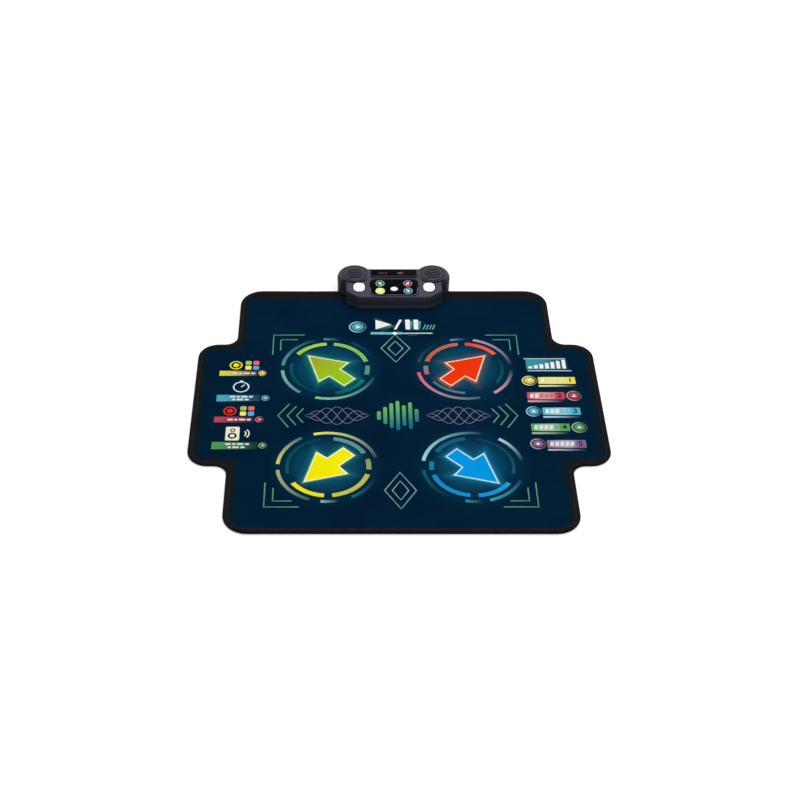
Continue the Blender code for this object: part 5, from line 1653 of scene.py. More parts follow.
@dataclass(frozen=True)
class FieldArt:
    """Line work between the pads: brackets, diamonds, waves, a row of bars and the two headings."""

    middle: float = 0.3667
    line_width: float = 0.0031
    wave_width: float = 0.0014
    grey: str = "#8a88a6"
    start_grey: str = "#8a86a6"

    @property
    def y(self) -> float:
        """The middle between the front and the back rings."""
        return FRONT_Y + self.middle

    @staticmethod
    def shade(p: Vector) -> tuple:
        """The line work's colour: green at the sides and blue-grey in the middle."""
        return (*blend(linear("#86b4b8"), linear("#62a686"), ease(abs(p.x), 0.05, 0.28)), 0.85)

    def stroke(self, name: str, points: Sequence[Point], closed: bool = False) -> None:
        """Prints one line of the line work."""
        SHOP.line(name, points, self.line_width, self.shade, closed=closed)

    def brackets(self) -> None:
        """Open brackets outside the four rings."""
        for sx, side in ((-1, "l"), (1, "r")):
            for sy, end in ((-1, "f"), (1, "b")):
                for k, (reach, arm) in enumerate(((0.290, 0.074), (0.272, 0.040))):
                    x, y = sx * reach, self.y + sy * (reach + 0.002)
                    self.stroke(f"bracket_{k + 1}_{side}{end}", [(x, y - sy * arm), (x, y), (x - sx * arm, y)])

    def diamonds(self) -> None:
        """Slim diamonds on the centre line, in front of and behind the rings, and chevrons at the sides."""
        for label, y, tall in (("back", FRONT_Y + 0.6090, 0.0520), ("front", FRONT_Y + 0.1250, 0.0560)):
            for k, size in enumerate((1.0, 0.52)):
                h, w = tall * size, 0.034 * size
                self.stroke(f"diamond_{label}_{k + 1}", [(0, y - h), (w, y), (0, y + h), (-w, y)], closed=True)
        for sx, side in ((-1, "l"), (1, "r")):
            for k, x in enumerate((0.270, 0.249, 0.228)):
                arm = 0.040 - 0.008 * k
                start = sx * (x - arm * 0.62)
                self.stroke(f"chevron_{side}_{k + 1}", [(start, self.y + arm), (sx * x, self.y), (start, self.y - arm)])

    def waves(self) -> None:
        """Fine waves on both sides of the bars."""
        grey, steps = linear(self.grey), 40
        for sx, side in ((-1, "l"), (1, "r")):
            for k in range(4):
                points = []
                for share in (i / steps for i in range(steps + 1)):
                    swing = math.sin(math.pi * share) * math.sin(2 * math.pi * (1.5 * share) + k * math.pi / 2)
                    points.append((sx * (0.062 + 0.150 * share), self.y + 0.030 * swing))
                SHOP.line(f"wave_{side}_{k + 1}", points, self.wave_width, lambda p: (
                    *grey, 0.90 * ease(abs(p.x), 0.058, 0.085) * ease(abs(p.x), 0.214, 0.190)))

    def bars(self) -> None:
        """A row of level bars in the middle of the mat."""
        first, last, y, half = linear("#6fc45c"), linear("#12708c"), self.y, 0.0044
        for k, tall in enumerate((0.030, 0.058, 0.084, 0.100, 0.070, 0.090, 0.044)):
            x = (k - 3) * 0.0142
            SHOP.bar(f"music_bar_{k + 1}", (x - half, y - tall / 2), (x + half, y + tall / 2), 0.0042, lambda p: (
                *blend(last, first, ease(p.y - 0.4 * p.x, y - 0.052, y + 0.052)), 0.92), steps=4)

    def start_heading(self) -> None:
        """The heading beside the start pad: a play sign, a stroke and a pause sign over a two-part rule."""
        white, teal, grey = Tint.WHITE.rgb, linear("#6fc4c4"), linear(self.start_grey)
        base, top = FRONT_Y + 0.6810, FRONT_Y + 0.7190
        signs = {
            "play": [(-0.046, base), (-0.008, (base + top) / 2), (-0.046, top)],
            "stroke": [(-0.002, base), (0.004, base), (0.018, top), (0.012, top)],
            "pause_1": [(0.026, base), (0.037, base), (0.037, top), (0.026, top)],
            "pause_2": [(0.046, base), (0.057, base), (0.057, top), (0.046, top)],
        }
        for label, points in signs.items():
            SHOP.shape(f"start_sign_{label}", points, white, 1)
            if label != "stroke":
                SHOP.shape(f"start_shadow_{label}", [(x + 0.0065, y - 0.0055) for x, y in points],
                           lambda p: (*teal, 0.75 * ease(p.y, base - 0.012, top)))
        for k in range(4):
            x = 0.067 + k * 0.0075
            tick = [(x, base), (x + 0.003, base), (x + 0.009, top - 0.02), (x + 0.006, top - 0.02)]
            SHOP.shape(f"start_tick_{k + 1}", tick, lambda p: (*teal, 0.8))
        rule, thick, thin = FRONT_Y + 0.6660, 0.0042, 0.0022
        SHOP.bar("start_rule_wide", (-0.058, rule - thick), (0.016, rule + thick), 0.0008, teal)
        SHOP.bar("start_rule_slim", (0.016, rule - thin), (0.090, rule + thin), 0.0008, blend(teal, white, 0.35))
        SHOP.lay(disc("start_node", 0.0, rule, 0.0056, steps=24), white, level=1)
        for k, (swing, phase) in enumerate(((0.034, 0.0), (0.026, math.pi))):
            points = [(-0.060 + 0.150 * i / 32,
                       FRONT_Y + 0.6920 + swing * math.sin(2 * math.pi * (i + 9) / 41 + phase)) for i in range(33)]
            SHOP.line(f"start_wave_{k + 1}", points, 0.0011, lambda p: (
                *grey, 0.6 * ease(p.x, -0.060, -0.04) * ease(p.x, 0.09, 0.05)), level=-1)

    def level_heading(self) -> None:
        """The heading over the level rows: rising bars on a teal block between two rules."""
        white, teal = Tint.WHITE.rgb, linear("#3f9db0")
        low, high = FRONT_Y + 0.5300, FRONT_Y + 0.5660
        SHOP.bar("level_block", (0.304, low), (0.402, high), 0.001,
                 lambda p: (*teal, 0.85 - 0.75 * ease(p.x, 0.330, 0.402)))
        foot, wide = low + 0.003, 0.0085
        for k in range(7):
            x, head = 0.309 + k * 0.0132, foot + (0.008 + 0.0040 * k)
            SHOP.shape(f"level_step_{k + 1}", [(x, foot), (x + wide, foot), (x + wide, head), (x, head)], white, 1)
        for label, y, left, right in (("top", high + 0.0030, 0.300, 0.398), ("base", low - 0.0050, 0.306, 0.408)):
            SHOP.bar(f"level_rule_{label}", (left, y - 0.0016), (right, y + 0.0016), 0.0006,
                     blend(teal, white, 0.55), 1)

    def build(self) -> None:
        """Prints all the line work."""
        self.brackets()
        self.diamonds()
        self.waves()
        self.bars()
        self.start_heading()
        self.level_heading()


def print_mat() -> None:
    """Prints the pads, the rows and the line work."""
    for pad in (StepPad("green", Tint.GREEN, "#ecffc4", warm="#a3ae2a"), StepPad("yellow", Tint.YELLOW, "#fffde0"),
                StepPad("red", Tint.RED, "#ffe4c4", drop="#9c5c44"), StepPad("blue", Tint.BLUE, "#c0faff")):
        pad.build()
    Badge("zone_start", Tint.CYAN, "right").build()
    levels = (Tint.STRAW, Tint.ROSE, Tint.CYAN, Tint.LEAF, Tint.PURPLE)
    places = ((0.327, 0.4775), (0.297, 0.4230), (0.327, 0.3690), (0.297, 0.3145), (0.327, 0.2600))
    for n, (tint, (left, low)) in enumerate(zip(levels, places), start=1):
        Badge(f"zone_level_{n}", tint).build()
        LevelRow(n, tint, left, low).build()
    modes = ((Tint.STRAW, -0.411, -0.324, 0.5065, 0.0180, 1), (Tint.CYAN, -0.412, -0.313, 0.4155, 0.0225, 2),
             (Tint.ROSE, -0.413, -0.324, 0.3435, 0.0190, 1), (Tint.LEAF, -0.413, -0.313, 0.2550, 0.0235, 2))
    for n, (tint, left, right, low, height, lines) in enumerate(modes, start=1):
        Badge(f"zone_mode_{n}", tint, "right").build()
        ModeRow(str(n), tint, left, right, low, height, lines).build()
    Icons().build()
    FieldArt().build()


@dataclass(frozen=True)
class Housing:
    """The console's upper and lower shells."""

    chamfer: float = 0.023
    depth: float = 0.105
    corner: float = 0.004
    pod_radius: float = 0.043
    front_inset: float = 0.008
    side_outset: float = 0.021
    back_inset: float = 0.011
    side_end: float = 0.011
    fall: float = 3.0
    edge: float = 0.0026
    draft: float = 0.0012
    band: tuple[float, float] = (1.011, 0.975)      # the painted shade strip's outside and inside against the pod's
    rim: float = 0.0329
    pod_top: float = POD_TOP_Z
    shoulder: float = POD_TOP_Z - 0.0125
    wall: float = 0.0022
    back_wall: float = 0.0032
    deck_wall: float = 0.0026
    recess: float = 0.0015
    parting: float = 0.0190
    gap: float = 0.0003
    flare: float = 0.0004          # the chamfer round the deck's recesses
    slim_flare: float = 0.0001
    well: float = 0.006            # depth of the deck's openings
    button_gap: float = 0.0004
    door_play: float = 0.0004
    jack_way: tuple[float, float] = (0.0035, 0.026)        # radius and height
    bore: tuple[float, float] = (0.0011, 0.0013)           # radius, and how far it lies inside the door's edges
    seat_depth: float = 0.0012
    throat: float = 0.0245         # the opening under a grille
    throat_depth: float = 0.006
    display_way: tuple[float, float] = (0.033, 0.0045)
    slope: float = math.tan(DECK_ANGLE)

    @property
    def back(self) -> float:
        """The body's back."""
        return CONSOLE_Y + self.depth

    def outline(self, name: str, inset: float, back_inset: float, z: float) -> Piece:
        """Draws the body's outline without the pods.

        Args:
            name: The piece's name.
            inset: How far its front and sides are moved inwards.
            back_inset: How far its back is.
            z: Its height.

        Returns:
            The flat face.
        """
        side = POD_X + self.side_outset
        front = POD_X - self.front_inset
        slant = math.atan2(self.chamfer, side - front)
        front_half = front - inset * math.tan(slant / 2)
        side_y = CONSOLE_Y + self.chamfer + inset * math.tan((math.pi / 2 - slant) / 2)
        right = [(front_half, CONSOLE_Y + inset), (side - inset, side_y), (side - inset, POD_Y - self.side_end),
                 (POD_X - self.back_inset, CONSOLE_Y + self.depth - back_inset)]
        piece = drawn(name, right + [(-x, y) for x, y in reversed(right)], z)
        with editing(piece):
            pick(piece, Kind.POINTS, lambda v: v.co.y < side_y + NEAR)
            bpy.ops.mesh.bevel(offset=max(self.corner - inset, 0.0008), segments=5, affect="VERTICES")
        return piece

    def block(self, name: str, inset: float, back_inset: float, low: float, drop: float, edge: float) -> Piece:
        """Makes the body as a solid under the sloping deck.

        Args:
            name: The piece's name.
            inset: How far its front and sides are moved inwards.
            back_inset: How far its back is.
            low: The height of its underside.
            drop: How far its top lies below the deck.
            edge: The radius of its upper edge, or 0.

        Returns:
            The body.
        """
        piece = thicken(self.outline(name, inset, back_inset, low), 0.06)
        with editing(piece):
            cut((0, CONSOLE_Y, DECK_FRONT_Z - drop), (0.0, -self.slope, 1.0), use_fill=True, clear_outer=True)
            if edge:
                pick(piece, Kind.EDGES, lambda e: all(
                    abs(v.co.z - DECK_FRONT_Z + drop - self.slope * (v.co.y - CONSOLE_Y)) < NEAR for v in e.verts))
                bpy.ops.mesh.bevel(offset=edge, segments=4, affect="EDGES")
        return outwards(piece)

    def pod(self, name: str, side: int, inset: float, low: float, high: float = 0.0) -> Piece:
        """Makes one speaker pod: a drafted wall, and a round shoulder up to the rim.

        Args:
            name: The piece's name.
            side: -1 on the left and 1 on the right.
            inset: How far its wall is moved inwards.
            low: The height of its underside.
            high: The height at which its wall ends without a shoulder, or 0.

        Returns:
            The pod.
        """
        wall = self.pod_radius - inset
        foot = wall - self.draft * (self.shoulder - low) / self.shoulder
        place = (side * POD_X, POD_Y, 0.0)
        rim = self.rim - inset
        if high:
            levels = [(wall - self.draft * (self.shoulder - high) / self.shoulder, high)]
        else:
            drop = self.deck_wall if inset else 0.0
            top, shoulder = self.pod_top - drop, self.shoulder - drop / 2
            turns = [math.pi / 2 * k / 7 for k in range(1, 8)]
            levels = [(wall, shoulder), *((wall + (rim - wall) * (1 - math.cos(turn)),
                                           shoulder + (top - shoulder) * math.sin(turn)) for turn in turns)]
        piece = disc(name, place[0], place[1], foot, low, 96)
        with editing(piece):
            radius, height = foot, low
            for wide, up in levels:
                lift(up - height)
                bpy.ops.transform.resize(value=(wide / radius, wide / radius, 1.0), center_override=(*place[:2], up))
                radius, height = wide, up

        def narrow(p: Vector) -> Point:
            """Draws the front half in to the rim's radius.

            Args:
                p: A point.

            Returns:
                Its new place.
            """
            if p.y > POD_Y - NEAR:
                return p
            across, along = p.x - place[0], p.y - place[1]
            away = math.hypot(across, along)
            share = (rim + (away - rim) * (abs(across) / away) ** self.fall) / away
            return (place[0] + across * share, place[1] + along * share, p.z)

        return outwards(reshape(piece, narrow))

    def pods(self, inset: float, low: float, high: float = 0.0) -> list[Piece]:
        """Makes both pods."""
        return [self.pod("pod_shape", side, inset, low, high) for side in (-1, 1)]

    def skirt(self, label: str, side: int) -> None:
        """Builds a dark strip round the foot of a pod, where its front stands up from the deck: painted shade, where
        the pod shades the deck.

        Args:
            label: The side's name.
            side: -1 on the left and 1 on the right.
        """
        place = (side * POD_X, POD_Y, 0.0)
        band, core = (self.pod(f"pod_painted_shade_{label}", side, 0.0, self.parting) for _ in range(2))
        for piece, share in zip((band, core), self.band):
            with editing(piece):
                bpy.ops.transform.resize(value=(share, share, 1.0), center_override=place)
        cuts = (((0, 0, self.pod_top - 0.0013), (0, 0, 1)),
                ((0, CONSOLE_Y, DECK_FRONT_Z - 0.0004), (0, self.slope, -1)),
                (place, (0.75, 1, 0)), (place, (-0.75, 1, 0)))
        with editing(band):
            for spot, lean in cuts:
                cut(spot, lean, use_fill=True, clear_outer=True)
        # Painted shade: a strip of black moulding laid where the deck lies in the pod's shadow
        mount(carve(outwards(band), put(core, Matrix.Translation((0, 0.0002, 0.001)))), Look.DARK, "case")

    def plug(self, outline: Piece, depth: float, flare: float = 0.0004) -> Piece:
        """Makes a cutter in the deck's frame from an outline that is wider by twice the flare.

        Args:
            outline: The flat outline, at the flare's height over the deck.
            depth: How deep it cuts.
            flare: Size of the chamfer that it leaves at the deck.

        Returns:
            The cutter, in its place.
        """
        with editing(outline):
            lift(0.002)
        outwards(outline)
        with editing(outline):
            pick(outline, Kind.FACES, lambda face: face.normal.z < -0.9)
            bpy.ops.mesh.inset(thickness=2 * flare, depth=2 * flare)
            lift(-(depth - flare))
        return put(outwards(outline), DECK)

    def top(self) -> None:
        """Builds the upper shell: deck, pods, recesses, openings and the slots in its back."""
        low = self.parting + self.gap
        case = self.block("upper_shell", 0.0, 0.0, low, 0.0, self.edge)
        carve(case, *self.pods(0.0, low), operation="UNION")
        under = low - 0.001
        carve(case, self.block("hollow", self.wall, self.back_wall, under, self.deck_wall, 0.0),
              *self.pods(self.wall, under))
        seats, throats = [], []
        grille = half_width("speaker_grille_right")
        for x in (-POD_X, POD_X):
            seats.append(thicken(disc("seat", x, POD_Y, grille + self.gap, self.pod_top - self.seat_depth, 96), 0.004))
            throats.append(thicken(disc("throat", x, POD_Y, self.throat, self.pod_top - self.throat_depth, 64),
                                   self.throat_depth))
        carve(case, combine("seats", seats), combine("throats", throats))
        panel, window = Panel(), DisplayStrip()
        grow, flare = self.gap, self.flare
        shallow = [self.plug(panel.outline("panel_recess", grow + 2 * flare, flare), self.recess),
                   self.plug(window.outline("window_recess", grow + 2 * flare, flare), self.recess)]
        carve(case, combine("recesses", shallow))
        slim, well, (wide, tall) = self.slim_flare, self.well, self.display_way
        deep = [self.plug(shape, well, slim) for shape in panel.lamp_outlines(grow + 2 * slim, slim)]
        deep += [self.plug(button.outline("button_well", self.button_gap + 2 * flare, flare), well)
                 for button in buttons()]
        deep.append(self.plug(slab("display_opening", (-wide, window.middle - tall), (wide, window.middle + tall),
                                   0.0015, 3, slim), well, slim))
        carve(case, combine("deck_openings", deep))
        carve(case, *self.back_openings(under))
        mount(soften(case, 0.00025), Look.CASE, "case", stands_for=["top_case"])

    def door_way(self, low: float, height: float) -> Piece:
        """Makes the cutter for the battery door's opening.

        Args:
            low: The height of its underside.
            height: Its height.

        Returns:
            The cutter.
        """
        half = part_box("battery_door")[1].x - Fittings.pin_length + self.door_play
        way = slab("door_way", (-half, self.back - self.back_wall - 0.001), (half, self.back + 0.001), z=low)
        return thicken(way, height)

    def back_openings(self, low: float) -> list[Piece]:
        """Makes the cutters for the battery door, the power switch and the jack.

        Args:
            low: A height below the upper shell.

        Returns:
            The three cutters.
        """
        door = self.door_way(low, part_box("battery_door")[1].z + 0.0002 - low)
        (first, last), play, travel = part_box("power_switch_slider"), 0.0004, 0.0040
        reach = POD_Y + self.pod_radius
        slot = slab("slider_way", (first.x - play, reach - 0.0064), (last.x + travel + play, reach + 0.001),
                    z=first.z - play)
        thicken(slot, last.z - first.z + 2 * play)
        radius, height = self.jack_way
        return [door, slot, rod("jack_way", radius, 0.008, (POD_X, reach - 0.003, height), 48, along_x=False)]

    def base(self) -> None:
        """Builds the lower shell: a ledge over the mat's edge and a deeper part behind it."""
        floor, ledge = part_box("base_case")[0].z, MAT_TOP + self.gap
        case = thicken(self.outline("lower_shell", 0.0, 0.0, floor), self.parting - floor)
        carve(case, *self.pods(0.0, floor, self.parting), operation="UNION")
        behind = BACK_Y + 0.0006
        space = slab("mat_space", (-0.3, CONSOLE_Y - 0.1), (0.3, behind), z=-0.1)
        carve(case, thicken(space, ledge + 0.1))
        above, inside = self.parting + 0.001, ledge + self.wall
        hollow = thicken(self.outline("base_hollow", self.wall, self.back_wall, inside), above - inside)
        carve(case, hollow, *self.pods(self.wall, inside, above))
        rear = slab("rear_hollow", (-POD_X, behind + self.wall), (POD_X, self.back - self.back_wall),
                    z=floor + self.wall)
        carve(case, thicken(rear, inside - floor))
        door_low, door_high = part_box("battery_door")
        carve(case, self.door_way(door_low.z - self.door_play, above - door_low.z))
        radius, margin = self.bore
        axis = Vector((0, self.back - self.gap - margin, door_low.z + margin))
        carve(case, rod("hinge_bore", radius, 2 * (door_high.x + self.gap), axis))
        mount(soften(case, 0.0004), Look.CASE, "case", stands_for=["base_case"])

    def build(self) -> None:
        """Builds both shells."""
        self.top()
        self.base()
        self.skirt("left", -1)
        self.skirt("right", 1)


@dataclass(frozen=True)
class Button:
    """A white button, built in the deck's frame: flange, cap with a round edge, low crown and stem."""

    node: str
    x: float
    v: float
    half: tuple[float, float]
    power: float
    proud: float = 0.0022
    flange: float = 0.0016
    under: float = -0.0029
    brim: float = 0.0012           # thickness of the flange
    edge: float = 0.0012
    crown: float = 0.0006
    crown_shares: tuple[float, ...] = (1.0, 0.82, 0.64, 0.46, 0.28, 0.10)
    stem: float = 0.0030
    surround: tuple[float, float] = (0.0021, 0.0005)       # its width and height round the cap

    def outline(self, name: str, grow: float, height: float) -> Piece:
        """Draws the cap's outline.

        Args:
            name: The piece's name.
            grow: How far it is moved outwards.
            height: Its height over the deck.

        Returns:
            The flat face.
        """
        piece = disc(name, 0.0, 0.0, 1.0, 0.0, 56)

        def swing(p: Vector) -> Point:
            """Sends a point of the unit circle to the cap's outline."""
            reach = (abs(p.x) ** self.power + abs(p.y) ** self.power) ** (-1 / self.power)
            return (self.x + (self.half[0] + grow) * reach * p.x, self.v + (self.half[1] + grow) * reach * p.y, height)

        return reshape(piece, swing)

    def shrink(self, share: float, rise: float) -> None:
        """Extrudes what is selected upwards and draws it in round the button's axis."""
        lift(rise)
        bpy.ops.transform.resize(value=(share, share, 1.0), center_override=(self.x, self.v, 0.0))

    def build(self) -> None:
        """Builds the button, and its dark surround where it stands in the case."""
        cap = self.outline(f"{self.node}_cap", self.flange, self.under - self.brim)
        with editing(cap):
            lift(self.brim)
            bpy.ops.mesh.inset(thickness=self.flange, depth=0.0)
            lift(self.proud - self.edge - self.under)
            for width, rise in fillet(self.edge, 4):
                bpy.ops.mesh.inset(thickness=width, depth=rise)
            for wide, slim in zip(self.crown_shares, self.crown_shares[1:]):
                self.shrink(slim / wide, self.crown * (wide ** 2 - slim ** 2))
        outwards(cap)
        with editing(cap):
            pick(cap, Kind.FACES, lambda face: face.normal.z < -0.9)
            self.shrink(self.stem / max(self.half), 0.0)
            foot = (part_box(self.node)[0].z - DECK_FRONT_Z) / math.cos(DECK_ANGLE) - self.v * math.tan(DECK_ANGLE)
            lift(foot - self.under + self.brim)
        put(outwards(cap), DECK)
        mount(cap, Look.WHITE, "white", body=self.node, stands_for=[self.node])
        if self.power > 2:
            width, height = self.surround
            ring = thicken(self.outline(f"{self.node}_surround", width, 0.0), height, fillet(0.0003, 2))
            carve(ring, thicken(self.outline("inside", Housing.button_gap, -0.001), 0.003))
            mount(put(ring, DECK), Look.DARK, "black_plastic")


def buttons() -> list[Button]:
    """Places the three buttons where the frame has them.

    Returns:
        The left one, the right one and the small one.
    """
    made = []
    for node, v, half, power, proud in (("button_left", 0.034, (0.0144, 0.0163), 2.5, 0.0022),
                                        ("button_right", 0.034, (0.0144, 0.0163), 2.5, 0.0022),
                                        ("button_center", 0.0283, (0.0092, 0.0073), 2.0, 0.0014)):
        x = middle_of(node)[0]
        made.append(Button(node, x, v, half, power, proud))
    return made


@dataclass(frozen=True)
class DeckPlate:
    """A glossy plate let into the deck, in the deck's frame."""

    half: float
    start: float
    end: float
    corner: float
    corner_steps: int
    thick: float = 0.0012

    def outline(self, name: str, grow: float, height: float) -> Piece:
        """Draws the plate's outline, moved outwards."""
        return slab(name, (-self.half - grow, self.start - grow), (self.half + grow, self.end + grow),
                    self.corner + grow, self.corner_steps, height)

    def plate(self, name: str) -> Piece:
        """Makes the plate with its rounded edge."""
        return thicken(self.outline(name, 0.0, -self.thick), self.thick, fillet(0.0003, 2))


@dataclass(frozen=True)
class Panel(DeckPlate):
    """The control panel with its four lamps."""

    half: float = 0.0590
    start: float = 0.003
    end: float = 0.0661
    corner: float = 0.013
    corner_steps: int = 8
    lamp_x: float = 0.034
    lamp_vs: tuple[float, float] = (0.0485, 0.021)
    lamp_radius: float = 0.0115
    lamp_gap: float = 0.0003
    lamp_ring: tuple[float, float] = (0.0093, 0.0107)
    sign_size: float = 0.085                                # against a step pad's arrow
    flange: tuple[float, float] = (0.0013, 0.0012)          # a lens's flange under the panel: width and height
    lens_drop: float = 0.0041                               # how far the flange's underside lies below the deck
    lens_rise: float = 0.0031
    bead: tuple[float, float, float] = (0.0016, 0.0032, 0.0009)      # a bead painted pale as a highlight: its margins at the sides and in front, its width
    # where the painted highlight bead stops towards the back
    bead_end: float = 0.034

    def lamp_outlines(self, grow: float, height: float) -> list[Piece]:
        """Draws a circle round each lamp."""
        return [disc(f"lamp_way_{x}_{v}", x, v, self.lamp_radius + grow, height)
                for x in (-self.lamp_x, self.lamp_x) for v in self.lamp_vs]

    def build(self) -> None:
        """Builds the panel, its bead, painted pale as a highlight, and its lamps."""
        panel, under = self.plate("glossy_panel"), -self.thick - 0.001
        ways = [*self.lamp_outlines(self.lamp_gap, under),
                buttons()[-1].outline("center_way", Housing.button_gap, under)]
        carve(panel, combine("panel_openings", [thicken(way, 0.004) for way in ways]))
        mount(put(panel, DECK), Look.GLOSS, "gloss", stands_for=["control_panel"])
        # Painted highlight: a slim raised bead round the panel's sides and front, pale where light catches the rim, and
        # open at the back where no highlight shows
        side, front, width = self.bead
        highlight_bead = slab("panel_highlight_bead", (-self.half + side, self.start + front), (self.half - side, self.end),
                     self.corner - 0.002, self.corner_steps, -0.0002)
        with editing(highlight_bead):
            bpy.ops.mesh.inset(thickness=width, depth=0.0)
            bpy.ops.mesh.delete(type="FACE")
            cut((0, self.bead_end, 0), (0, 1, 0), clear_outer=True)
        mount(put(thicken(highlight_bead, 0.0004), DECK), Look.INLAY, "gloss")
        self.lamps()

    def lamps(self) -> None:
        """Builds each lamp: a clear lens, a bright ring and an arrow sign in it."""
        colors = {"green": (-1, 0, "#1c4a30", "#86c89a", "#c4f4d2"), "red": (1, 0, "#641030", "#b08890", "#ffd8dc"),
                  "yellow": (-1, 1, "#d8d870", "#f4f6b4", "#ffffd0"), "blue": (1, 1, "#12505e", "#90c8d2", "#c2f6fe")}
        brim, step = self.flange
        for label, (side, row, deep, bright, sign) in colors.items():
            x, v = side * self.lamp_x, self.lamp_vs[row]
            lens = disc(f"lens_{label}", x, v, self.lamp_radius + brim, -self.lens_drop)
            with editing(lens):
                lift(step)
                bpy.ops.mesh.inset(thickness=brim, depth=0.0)
                lift(self.lens_rise)
                for width, rise in fillet(0.0006, 3):
                    bpy.ops.mesh.inset(thickness=width, depth=rise)
            mount(put(outwards(lens), DECK), lamp_finish(f"lens_{label}", deep, 0.15), f"print_{label}",
                  stands_for=[f"lamp_{label}"])
            ring = SHOP.arc(f"lamp_ring_{label}", (x, v), *self.lamp_ring, 0, 360)
            reshape(ring, lambda p: (p.x, p.y, 0.0007))
            mount(soften(put(thicken(ring, 0.0004), DECK), 0.00015), lamp_finish(f"ring_{label}", bright, 0.15),
                  f"print_{label}")
            toward = (side, 1 if row == 0 else -1)
            arrow = drawn(f"lamp_arrow_{label}", Arrow().points((x, v), toward, self.sign_size), 0.0007)
            mount(put(thicken(arrow, 0.0003), DECK), lamp_finish(f"sign_{label}", sign, 0.45), f"print_{label}")


@dataclass(frozen=True)
class DisplayStrip(DeckPlate):
    """The display's tinted window with its figures."""

    half: float = 0.0565
    start: float = 0.0699
    end: float = 0.102
    corner: float = 0.0015
    corner_steps: int = 3
    line: float = 0.0886        # place of the figures
    sill: tuple[float, float] = (0.0735, 0.0792)
    figure: float = 0.0058      # height of a figure
    bar: float = 0.0010         # width of a figure's bar
    slant: float = 0.14

    @property
    def middle(self) -> float:
        """The window's middle along the deck."""
        return (self.start + self.end) / 2

    def figure_shape(self, name: str, digit: str, x: float) -> Piece:
        """Draws a figure from its lit bars.

        Args:
            name: The piece's name.
            digit: The figure.
            x: Its place across the window.

        Returns:
            The figure.
        """
        bars = {"0": "abcdef", "1": "bc", "2": "abged", "5": "afgcd", "8": "abcdefg"}[digit]
        h, t, w = self.figure / 2, self.bar / 2, self.figure * 0.27
        spots = {"a": (0, h, 0), "b": (w, h / 2, 1), "c": (w, -h / 2, 1), "d": (0, -h, 0), "e": (-w, -h / 2, 1),
                 "f": (-w, h / 2, 1), "g": (0, 0, 0)}
        lit = []
        for cx, cy, upright in (spots[bar] for bar in bars):
            long = (h / 2 if upright else w) - t * 0.5
            tall = [(-long, 0), (-long + t, t), (long - t, t), (long, 0), (long - t, -t), (-long + t, -t)]
            points = [(cx + (b if upright else a), cy + (a if upright else b)) for a, b in tall]
            lit.append(drawn(name, [(x + a + self.slant * b, self.line + b) for a, b in points], -0.00005))
        return thicken(combine(name, lit), 0.00009)

    def build(self) -> None:
        """Builds the window and lights its figures."""
        mount(put(self.plate("tinted_strip"), DECK), Look.WINDOW, "window", stands_for=["display_window"])
        sill = slab("window_sill", (-self.half + 0.001, self.sill[0]), (self.half - 0.001, self.sill[1]), 0.0008, 2,
                    -0.0001)
        mount(put(thicken(sill, 0.0002), DECK), Look.SILL, "window")
        dim, red, amber = (lamp_finish("unlit_figure", "#262c30", 0.1), lamp_finish("red_figure", "#a83c54", 0.3),
                           lamp_finish("amber_figure", "#b07a5c", 0.2))
        figures = ((-0.036, "8", dim), (-0.031, "8", dim), (-0.026, "8", dim), (-0.0185, "5", red),
                   (0.0090, "1", amber), (0.0140, "2", amber), (0.0190, "0", amber), (0.0240, "5", dim))
        for k, (x, digit, finish) in enumerate(figures):
            shape = self.figure_shape(f"figure_{k + 1}", digit, x)
            mount(put(shape, DECK), finish, "display")


@dataclass(frozen=True)
class Grilles:
    """The slotted domes over the speakers, with cloth under their slots."""

    radius: float = 0.0310
    seat: float = GRILLE_SEAT_Z
    rim: float = 0.0016
    crown: float = 0.0027
    wall: float = 0.0016
    ring: float = 0.0044
    bowl: float = 0.0272
    pitch: float = 0.0083
    drop: float = 0.0015        # how far in front of the axis the middle slot lies
    slot: float = 0.0037
    lengths: tuple[float, ...] = (0.028, 0.036, 0.039, 0.036, 0.028)
    cloth: float = 0.0302

    def build(self) -> None:
        """Builds both domes and their cloths."""
        top = self.seat + self.rim
        edge = self.radius - self.ring
        dome = [(self.bowl * k / 9, top + 0.0002 + self.crown * (1 - (k / 9) ** 2)) for k in range(10)]
        bead = ((0.0034, -0.0006), (0.0026, -0.0006), (0.0021, 0.0004), (0.0016, 0.0009), (0.0006, 0.0009),
                (0.0, 0.0003))
        profile = [*dome, *((self.radius - inward, top + up) for inward, up in bead), (self.radius, self.seat),
                   (edge, self.seat), (edge, top - 0.0008), (0.0, top + self.crown - self.wall)]
        middle = (len(self.lengths) - 1) / 2
        for side, label in ((-1, "left"), (1, "right")):
            place = (side * POD_X, POD_Y)
            grille = lathe(f"grille_{label}", profile, place, 96)
            slots = []
            for i, length in enumerate(self.lengths):
                y = POD_Y - self.drop + (i - middle) * self.pitch
                slot = slab("slot", (place[0] - length / 2, y - self.slot / 2),
                            (place[0] + length / 2, y + self.slot / 2), self.slot * 0.49, 5, self.seat - 0.001)
                slots.append(thicken(slot, 0.010))
            carve(grille, combine("slots", slots))
            mount(soften(grille, 0.0003, 2, 50.0), Look.GRILLE, "grille",
                  stands_for=[f"speaker_grille_{label}"], angle=40.0)
            cloth = thicken(disc(f"speaker_cloth_{label}", *place, self.cloth, self.seat - 0.0003, 64), 0.0002)
            mount(cloth, Look.CLOTH, "black_plastic")


